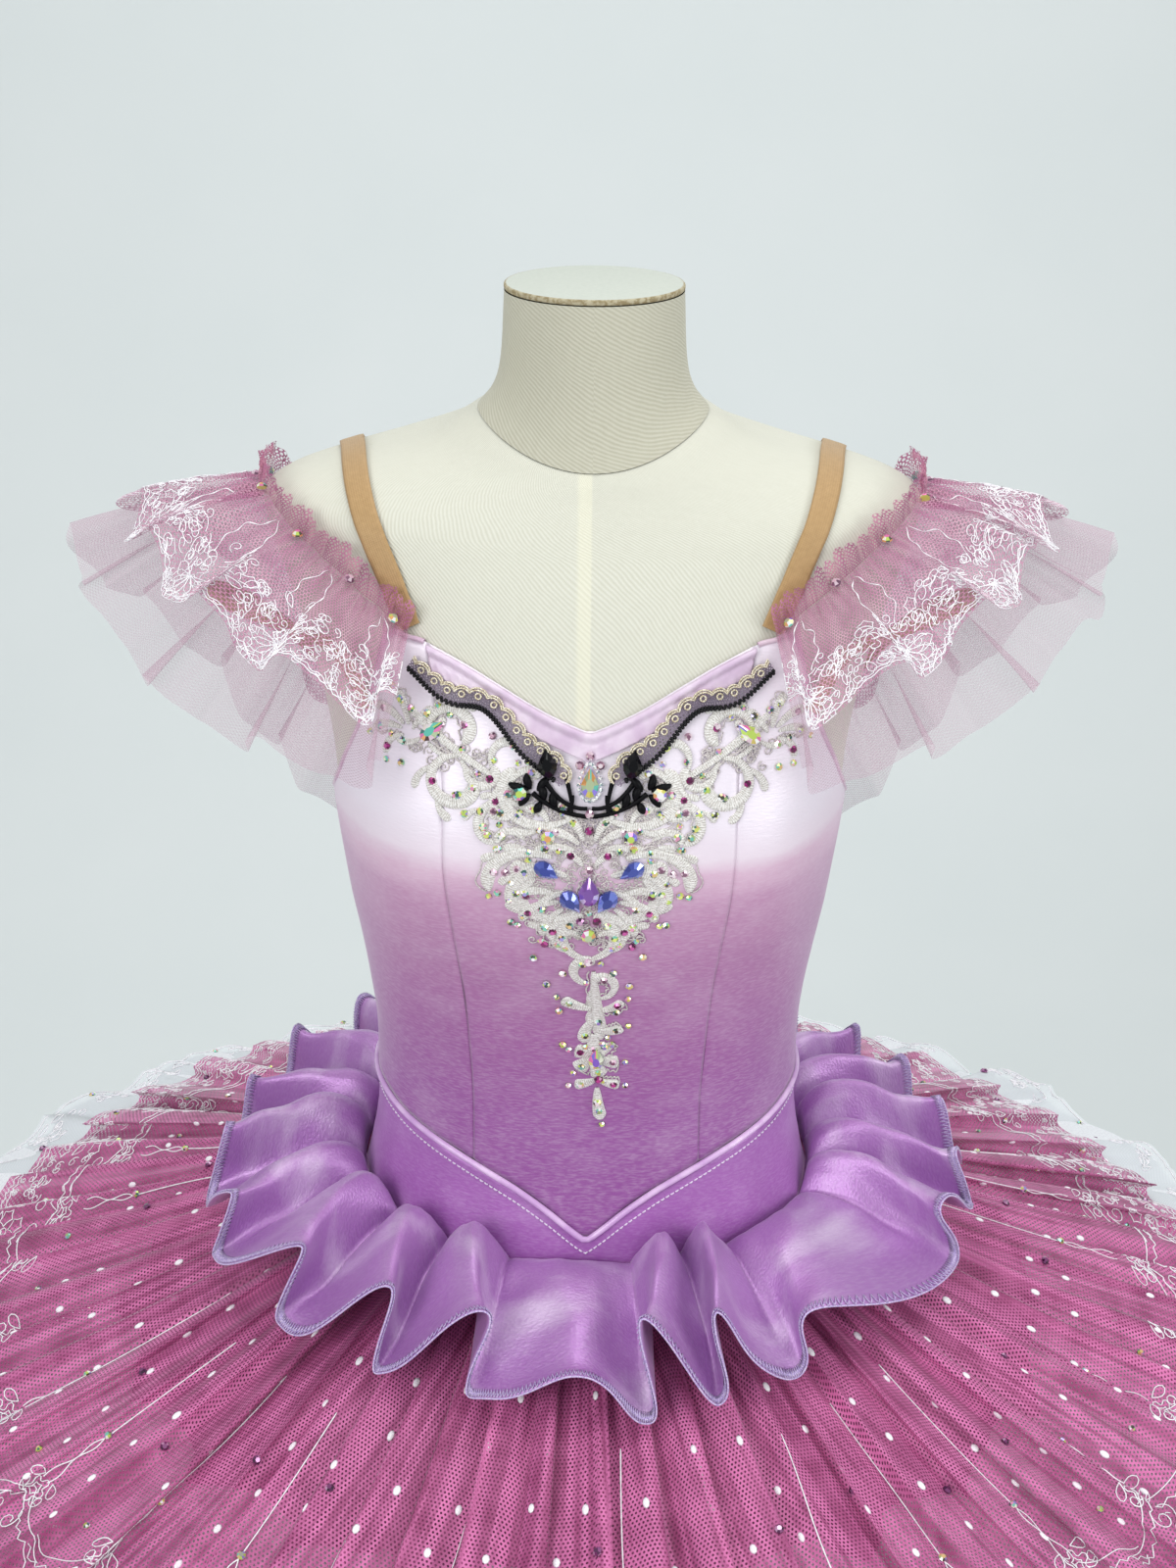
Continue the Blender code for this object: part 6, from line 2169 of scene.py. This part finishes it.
# ---------------------------------------------------------------- embroidery
class Needlework:
    """White thread work drawn in millimetres on a flat plan and laid on a net."""

    def __init__(self, net: Net, thread: float, seed: int, sides: int = 3) -> None:
        """Starts the threads and the dots of one net."""
        self.net, self.rng = net, np.random.default_rng(seed)
        self.threads = Threads(thread, sides)
        self.breadth, self.depth = net.breadth(), float(np.median(net.depth()))
        self.dots = Copies(small_ball("dot", 4), smooth=True)

    def shares(self, across: float, along: float, plan: Array) -> tuple[Array, Array]:
        """Shares of the net for a plan in millimetres round a place: x across, y down."""
        down = along + plan[:, 1] * MM / self.depth
        rows = np.linspace(0, 1, len(self.breadth))
        return across + plan[:, 0] * MM / np.interp(down, rows, self.breadth), down

    def line(self, across: float, along: float, plan: Array, thickness: Array | float = 1.0,
             off: float = 0.4) -> None:
        """Lays one thread along a plan."""
        path, normals = self.net.place(*self.shares(across, along, plan), off * MM)
        self.threads.lay(path, normals, thickness)

    def dot(self, across: float, along: float, x: float, y: float,
            size: tuple[float, float]) -> None:
        """A raised oval dot, longer down the cloth than across it."""
        u, v = self.shares(across, along, np.array([[x, y], [x, y + 2.0]]))
        place, normals = self.net.place(u, v, 0.1 * MM)
        self.dots.add(place[0], normals[0], place[1] - place[0],
                      (size[0] * MM, size[1] * MM, 1.6 * MM), [(1.0, 1.0, 1.0, 1.0)])

    @staticmethod
    def curl(x: float, y: float, heading: float, length: float, turns: float,
             count: int = 13) -> Array:
        """A line that winds up as it goes on."""
        s = np.linspace(0, 1, count)
        angle = heading + TAU * turns * (0.35 * s + 0.65 * s * s)
        step = length / (count - 1)
        run = np.stack([np.cos(angle), np.sin(angle)], 1) * step
        return np.cumsum(run, axis=0) + (x, y)

    @staticmethod
    def blossom(x: float, y: float, radius: float, petals: int, count: int = 40) -> Array:
        """A closed flower outline with its loops drawn in to the middle."""
        angle = np.linspace(0, TAU, count)
        far = radius * (0.32 + 0.68 * np.abs(np.cos(petals * angle / 2)) ** 0.8)
        return np.stack([x + far * np.cos(angle), y + far * np.sin(angle)], 1)

    @staticmethod
    def leaf(x: float, y: float, heading: float, length: float, count: int = 16) -> Array:
        """A closed pointed leaf outline."""
        s = np.linspace(0, 1, count)
        u = length * (1 - np.abs(2 * s - 1) ** 1.3)
        v = length * 0.22 * np.sin(TAU * s)
        c, d = math.cos(heading), math.sin(heading)
        return np.stack([x + u * c - v * d, y + u * d + v * c], 1)

    def patch(self, across: float, along: float, x: float, y: float, wide: float, high: float,
              pitch: float) -> None:
        """An oval filled with small curls, loops and leaves.

        Args:
            across: share of the net that the plan starts from.
            along: share down it.
            x: middle of the oval.
            y: middle of the oval.
            wide: half its width.
            high: half its height.
            pitch: of the curls.
        """
        for gy in np.arange(-high, high + 0.1, pitch * 0.86):
            shift = pitch / 2 * (round(gy / pitch / 0.86) % 2)
            for gx in np.arange(-wide, wide + 0.1, pitch) + shift:
                px, py = np.array([gx, gy]) + self.rng.uniform(-0.28, 0.28, 2) * pitch
                if (px / wide) ** 2 + (py / high) ** 2 > 1:
                    continue
                heading = self.rng.uniform(0, TAU)
                kind = self.rng.random()
                if kind < 0.66:
                    way = self.rng.choice((-1, 1))
                    plan = self.curl(x + px, y + py, heading, pitch * self.rng.uniform(1.7, 2.3),
                                     way * self.rng.uniform(0.8, 1.2), 11)
                elif kind < 0.82:
                    plan = self.blossom(x + px, y + py, pitch * 0.58, 5, 16)
                else:
                    plan = self.leaf(x + px, y + py, heading, pitch * 1.2, 8)
                self.line(across, along, plan)

    def finish(self, name: str, slot: str) -> None:
        """The thread work as one piece and the dots as another."""
        set_piece(self.threads.finish(f"{name}_threads"), Finishes.WHITE_THREAD)
        if self.dots.count:
            set_piece(self.dots.finish(f"{name}_dots"), Finishes.WHITE_THREAD)


@dataclass
class SkirtEmbroidery:
    """Dots, vines and the deep scrolled border of the top net, and work on the white lace."""

    skirt: Skirt
    vines: int = 32
    dot_rows: int = 7
    dot_pitch: float = 54 * MM
    top_thread: float = 0.48 * MM
    white_thread: float = 0.6 * MM
    curl_pitch: float = 11.3  # millimetres between the small curls of a filled patch
    pushed: float = 0.07  # how much farther out the border's flowers lie at the sides and back

    def build(self) -> None:
        """The top net first, then the white lace, then the stones."""
        self.stones = Copies(cut_stone(8))
        self.rng = np.random.default_rng(5)
        self.top()
        self.white()
        set_piece(self.stones.finish("skirt_stones"), Finishes.CRYSTAL)

    def stone(self, net: Net, across: float, along: float, kind: Stone, size: float) -> None:
        """Sets a stone on a net."""
        self.stones.add(*net.spot(across, along, 0.5 * MM),
                        np.array([self.rng.uniform(-1, 1), 1.0, 0.2]),
                        (size * MM, size * MM, size * 0.42 * MM), kind.tints(self.rng))

    def top(self) -> None:
        """Vines that run out to the flowers and patches of the border."""
        net = self.skirt.top
        work = Needlework(net, self.top_thread, 21)
        breadth = float(net.breadth()[-1])
        repeat = breadth / self.vines / MM
        for number in range(self.vines):
            edge, middle = number / self.vines, (number + 0.5) / self.vines
            foot = self.vine(work, middle)
            out = self.pushed * (1 - max(math.cos(TAU * middle), 0.0))
            self.flower(work, middle, out, foot)
            x = np.linspace(-repeat / 2, repeat / 2, 34)
            festoon = -34 + 26 * np.abs(np.sin(math.pi * x / repeat)) ** 0.7
            work.line(middle, 0.74 + out, np.stack([x, festoon], 1))
            work.line(middle, 0.76 + out, np.stack([x, festoon + 1.6 * np.sin(x * 0.6)], 1))
            shift = 6 * math.sin(number * 2.4)
            work.patch(middle, 0.80 + out, shift, 2, repeat * 0.26, 24, self.curl_pitch)
            work.patch(middle + 0.5 / self.vines, 0.90, -shift, 0, repeat * 0.20, 14,
                       self.curl_pitch)
            self.border(work, middle, repeat)
            for across, along, kind, size in (
                (middle + foot * MM / breadth * 1.6, 0.548, Stone.AURORA, 5.2),
                (edge, 0.44 + 0.05 * math.sin(number * 1.7), Stone.AMETHYST, 5.4),
                (edge + 0.004, 0.66, Stone.AURORA, 4.6), (middle - 0.006, 0.80, Stone.AURORA, 4.6),
                (middle + 0.008, 0.93, Stone.AMETHYST if number % 2 else Stone.AURORA, 5.0),
            ):
                self.stone(net, across, along, kind, size)
        self.dots(work)
        work.finish("skirt_top_embroidery", "white_lace")

    def vine(self, work: Needlework, middle: float) -> float:
        """A stitched line that wanders out from the ruffle; gives how far aside it ends."""
        sway, phase, _ = self.rng.uniform(-5, 5, 3)
        start = 0.24 + self.rng.uniform(0, 0.05)
        y = np.linspace(0, 1, 26)
        plan = np.stack([sway * np.sin(2.2 * y + phase), y * (0.545 - start) * work.depth / MM], 1)
        work.line(middle, start, plan, 0.75 + 0.45 * np.abs(np.sin(np.arange(26) * 1.9)))
        return plan[-1, 0]

    @staticmethod
    def flower(work: Needlework, middle: float, out: float, foot: float) -> None:
        """A flower with leaves and curls on two twisted stems."""
        y = np.linspace(0, 1, 14)
        for side in (-1, 1):
            stem = foot + side * (1.6 * np.sin(TAU * 1.5 * y) + 3.2 * y)
            work.line(middle, 0.555, np.stack([stem, y * 42.0], 1))
            for plan in (work.leaf(side * 6, -26, DOWN - side * 1.0, 15, 10),
                         work.curl(side * 8, -4, DOWN - side * 1.1, 38, side * 1.1, 14),
                         work.curl(side * 3, -14, DOWN - side * 0.4, 30, -side * 1.2, 12)):
                work.line(middle, 0.70 + out, plan)
        for radius, count in ((9.5, 26), (4.5, 16)):
            work.line(middle, 0.70 + out, work.blossom(0, -16, radius, 5, count))

    @staticmethod
    def border(work: Needlework, middle: float, repeat: float) -> None:
        """A wavy double line with loops, along the hem of one repeat."""
        x = np.linspace(-repeat / 2, repeat / 2, 40)
        arch = 5.0 * np.cos(TAU * x / repeat)
        for y, size in ((-7.0, 1.4), (-2.2, 1.9)):
            work.line(middle, 0.985, np.stack([x, y + arch * 0.4 + size * np.sin(x * 0.75)], 1))
        for at in np.arange(-repeat / 2, repeat / 2, 11.0):
            work.line(middle, 0.985, work.curl(at, -11, 0.3, 17, -1.3, 10))

    def dots(self, work: Needlework) -> None:
        """Staggered dots from the ruffle's edge out to the border."""
        for row, along in enumerate(np.linspace(0.19, 0.70, self.dot_rows)):
            breadth = float(np.interp(along, np.linspace(0, 1, len(work.breadth)), work.breadth))
            count = int(breadth / self.dot_pitch)
            for number in range(count):
                across = (number + 0.5 * (row % 2) + self.rng.uniform(-0.13, 0.13)) / count
                size = (self.rng.uniform(3.6, 4.6), self.rng.uniform(5.8, 7.2))
                work.dot(across, along + self.rng.uniform(-0.008, 0.008), 0, 0, size)

    def white(self) -> None:
        """Dots and patches of scrollwork along the white lace's scallops."""
        net = self.skirt.lace
        work = Needlework(net, self.white_thread, 33)
        breadth = float(net.breadth()[-1])
        count = self.skirt.lace_scallops
        repeat = breadth / count / MM
        for number in range(count):
            middle = (number + 0.5) / count
            for along, high in ((0.90, 16), (0.06, 10)):
                work.patch(middle, along, 0, 0, repeat * 0.36, high, self.curl_pitch)
            x = np.linspace(-repeat / 2, repeat / 2, 30)
            work.line(middle, 0.985, np.stack([x, -1 - 1.5 * np.abs(np.sin(x * 0.35))], 1))
            for x, along in ((-30, 0.30), (6, 0.42), (-12, 0.55), (26, 0.62), (-34, 0.72),
                             (10, 0.20)):
                work.dot(middle, along, x, 0, (5, 7.5))
            for aside, along, kind, size in (
                (0.002, 0.83, Stone.AMETHYST, 6.4), (0.012, 0.955, Stone.AURORA, 5.0),
                (-0.010, 0.66, Stone.AURORA, 4.8), (-0.014, 0.44, Stone.AMETHYST, 4.6),
            ):
                self.stone(net, middle + aside, along, kind, size)
        work.finish("skirt_white_lace_embroidery", "white_lace")


@dataclass
class SleeveEmbroidery:
    """Palmettes in scallops, petal-outline lines and stones of one sleeve."""

    sleeve: Sleeve
    gather_stones: int = 9
    thread: float = 0.32 * MM
    curl_pitch: float = 7.5  # millimetres between the small curls of a filled patch
    # Place, heading, length and turns of the curls beside each palmette, on one side.
    curls: tuple[tuple[float, ...], ...] = (
        (8, 4, 0.5, 26, 1.1), (14, -6, -0.5, 26, -1.1), (4, -16, -0.9, 24, 1.0),
        (22, 3, 1.2, 22, -1.0), (18, -17, -1.3, 22, 1.0), (27, -9, -1.5, 18, -0.9))

    def build(self) -> None:
        """Work on the net frill and the stones along its gathering line."""
        net, name = self.sleeve.lace, self.sleeve.name
        work = Needlework(net, self.thread, 7 if self.sleeve.side > 0 else 8)
        repeat = float(net.breadth()[-1]) / self.sleeve.scallops / MM
        depth = work.depth / MM
        for number in range(round(self.sleeve.scallops)):
            middle = (number + 0.5) / self.sleeve.scallops
            self.palmette(work, middle)
            self.rim(work, middle, repeat)
            for side in (-1, 1):
                y = np.linspace(0, 1, 24)
                bow = 1.5 + 8 * np.sin(math.pi * y * 0.85) + 1.2 * np.sin(y * 17 + side)
                rise = np.stack([side * bow, depth * 0.5 * y], 1)
                work.line(middle, 0.05, rise, 0.55 + 0.9 * np.abs(np.sin(y * 14)) ** 3)
            work.patch(middle, 0.74, 0, 0, repeat * 0.52, 21, self.curl_pitch)
        work.finish(f"sleeve_embroidery_{name}", "white_lace")
        stones = Copies(cut_stone(8))
        rng = np.random.default_rng(3)
        for number in range(self.gather_stones):
            kind = (Stone.PRISM, Stone.ROSE, Stone.PRISM)[number % 3]
            stones.add(*net.spot((number + 0.4) / self.gather_stones, 0.035, 2.4 * MM),
                       np.array([0.3, 1.0, 0.1]), (6.0 * MM, 6.0 * MM, 2.6 * MM), kind.tints(rng))
        set_piece(stones.finish(f"sleeve_stones_{name}"), Finishes.CRYSTAL)

    def palmette(self, work: Needlework, middle: float) -> None:
        """A fan of outlined leaves with a flower at its root and curls to both sides."""
        for degrees in range(15, 180, 25):
            work.line(middle, 0.84, work.leaf(0, -5, math.radians(degrees), 16, 9), 1.1)
        work.line(middle, 0.84, work.blossom(0, -9, 5.5, 5, 18), 1.1)
        for x, y, heading, length, turns in self.curls:
            for side in (-1, 1):
                plan = work.curl(x, y, heading, length, turns) * (side, 1)
                work.line(middle, 0.84, plan)

    @staticmethod
    def rim(work: Needlework, middle: float, repeat: float) -> None:
        """Looped lines along the lower edge."""
        x = np.linspace(-repeat / 2, repeat / 2, 40)
        work.line(middle, 0.99, np.stack([x, -0.8 - 1.4 * np.abs(np.sin(x * 0.42))], 1), 1.3)
        work.line(middle, 0.94, np.stack([x, 1.2 * np.sin(x * 0.8)], 1), 1.1)


# ---------------------------------------------------------------- studio
@dataclass
class Studio:
    """Pale seamless backdrop, soft lights and the camera."""

    focal: float = 54.05
    eye: tuple[float, float, float] = (-0.001, -1.29, 1.71)
    pitch: float = math.radians(23.0)
    roll: float = math.radians(0.55)
    back: float = 3.2
    curve: float = 1.6
    half_width: float = 4.0
    air_colour: str = "#E6EBEC"
    air_light: float = 0.56

    def build(self) -> None:
        """Backdrop, lights, world and camera."""
        self.backdrop()
        self.softbox("key", (-1.6, -2.3, 2.3), (0, 0, 1.05), 1.6, 40)
        self.softbox("fill", (2.2, -1.3, 1.9), (0, 0, 1.05), 1.2, 24)
        self.softbox("top", (0.3, -0.5, 3.1), (0, 0, 1.0), 1.2, 14)
        self.softbox("wash", (0, 1.2, 3.4), (0, 3.4, 0.6), 2.6, 30)
        world = bpy.data.worlds.new("studio_air")
        bpy.context.scene.world = world
        world.use_nodes = True
        air = world.node_tree.nodes["Background"].inputs
        air[0].default_value, air[1].default_value = linear(self.air_colour), self.air_light
        bpy.context.scene.view_settings.view_transform = "Standard"
        self.camera()

    def backdrop(self) -> None:
        """A floor that curves up into a wall behind."""
        arc = np.linspace(0, math.pi / 2, 13)
        profile = [(-2.6, 0.0), (0.0, 0.0)]
        profile += [(self.back - self.curve + self.curve * math.sin(a),
                     self.curve * (1 - math.cos(a))) for a in arc]
        profile += [(self.back, 4.0)]
        rows = np.array([[(x, y, z) for x in np.linspace(-self.half_width, self.half_width, 9)]
                         for y, z in profile])
        net = Net(rows, towards=np.array([0.0, -0.5, 1.0]))
        obj = net_object("studio_backdrop", net)
        obj.data.materials.append(StudioPaper("studio_paper").material())

    @staticmethod
    def softbox(name: str, place: Point, aim: Point, size: float, power: float) -> None:
        """A square area light.

        Args:
            name: of the light.
            place: its middle.
            aim: the point that it faces.
            size: its side in metres.
            power: in watts.
        """
        data = bpy.data.lights.new(name, "AREA")
        data.energy, data.size = power, size
        lamp = bpy.data.objects.new(name, data)
        bpy.context.scene.collection.objects.link(lamp)
        lamp.location = place
        lamp.rotation_euler = (Vector(aim) - Vector(place)).to_track_quat("-Z", "Y").to_euler()

    def camera(self) -> None:
        """The camera, looking down at the bodice."""
        data = bpy.data.cameras.new("camera")
        data.lens, data.sensor_width = self.focal, 36.0
        data.clip_end = 50
        view = bpy.data.objects.new("camera", data)
        bpy.context.scene.collection.objects.link(view)
        turn = Matrix.Rotation(math.pi / 2 - self.pitch, 4, "X")
        view.matrix_world = Matrix.Translation(self.eye) @ turn @ Matrix.Rotation(self.roll, 4, "Z")
        bpy.context.scene.camera = view


def main() -> None:
    """Builds the piece groups in order and reports each."""
    logging.basicConfig(level=logging.INFO, format="%(name)s: %(message)s")
    Studio().build()
    surface = FormSurface()
    skirt, sleeves = Skirt(), [Sleeve(surface, side) for side in (1, -1)]
    groups = [DressForm(), Bodice(), Trimmings(), skirt, SkirtEmbroidery(skirt), Ruffle(),
              Straps(surface), *sleeves, *(SleeveEmbroidery(sleeve) for sleeve in sleeves)]
    for group in groups:
        group.build()
        log.info("built %s", type(group).__name__)


if __name__ == "__main__":
    main()
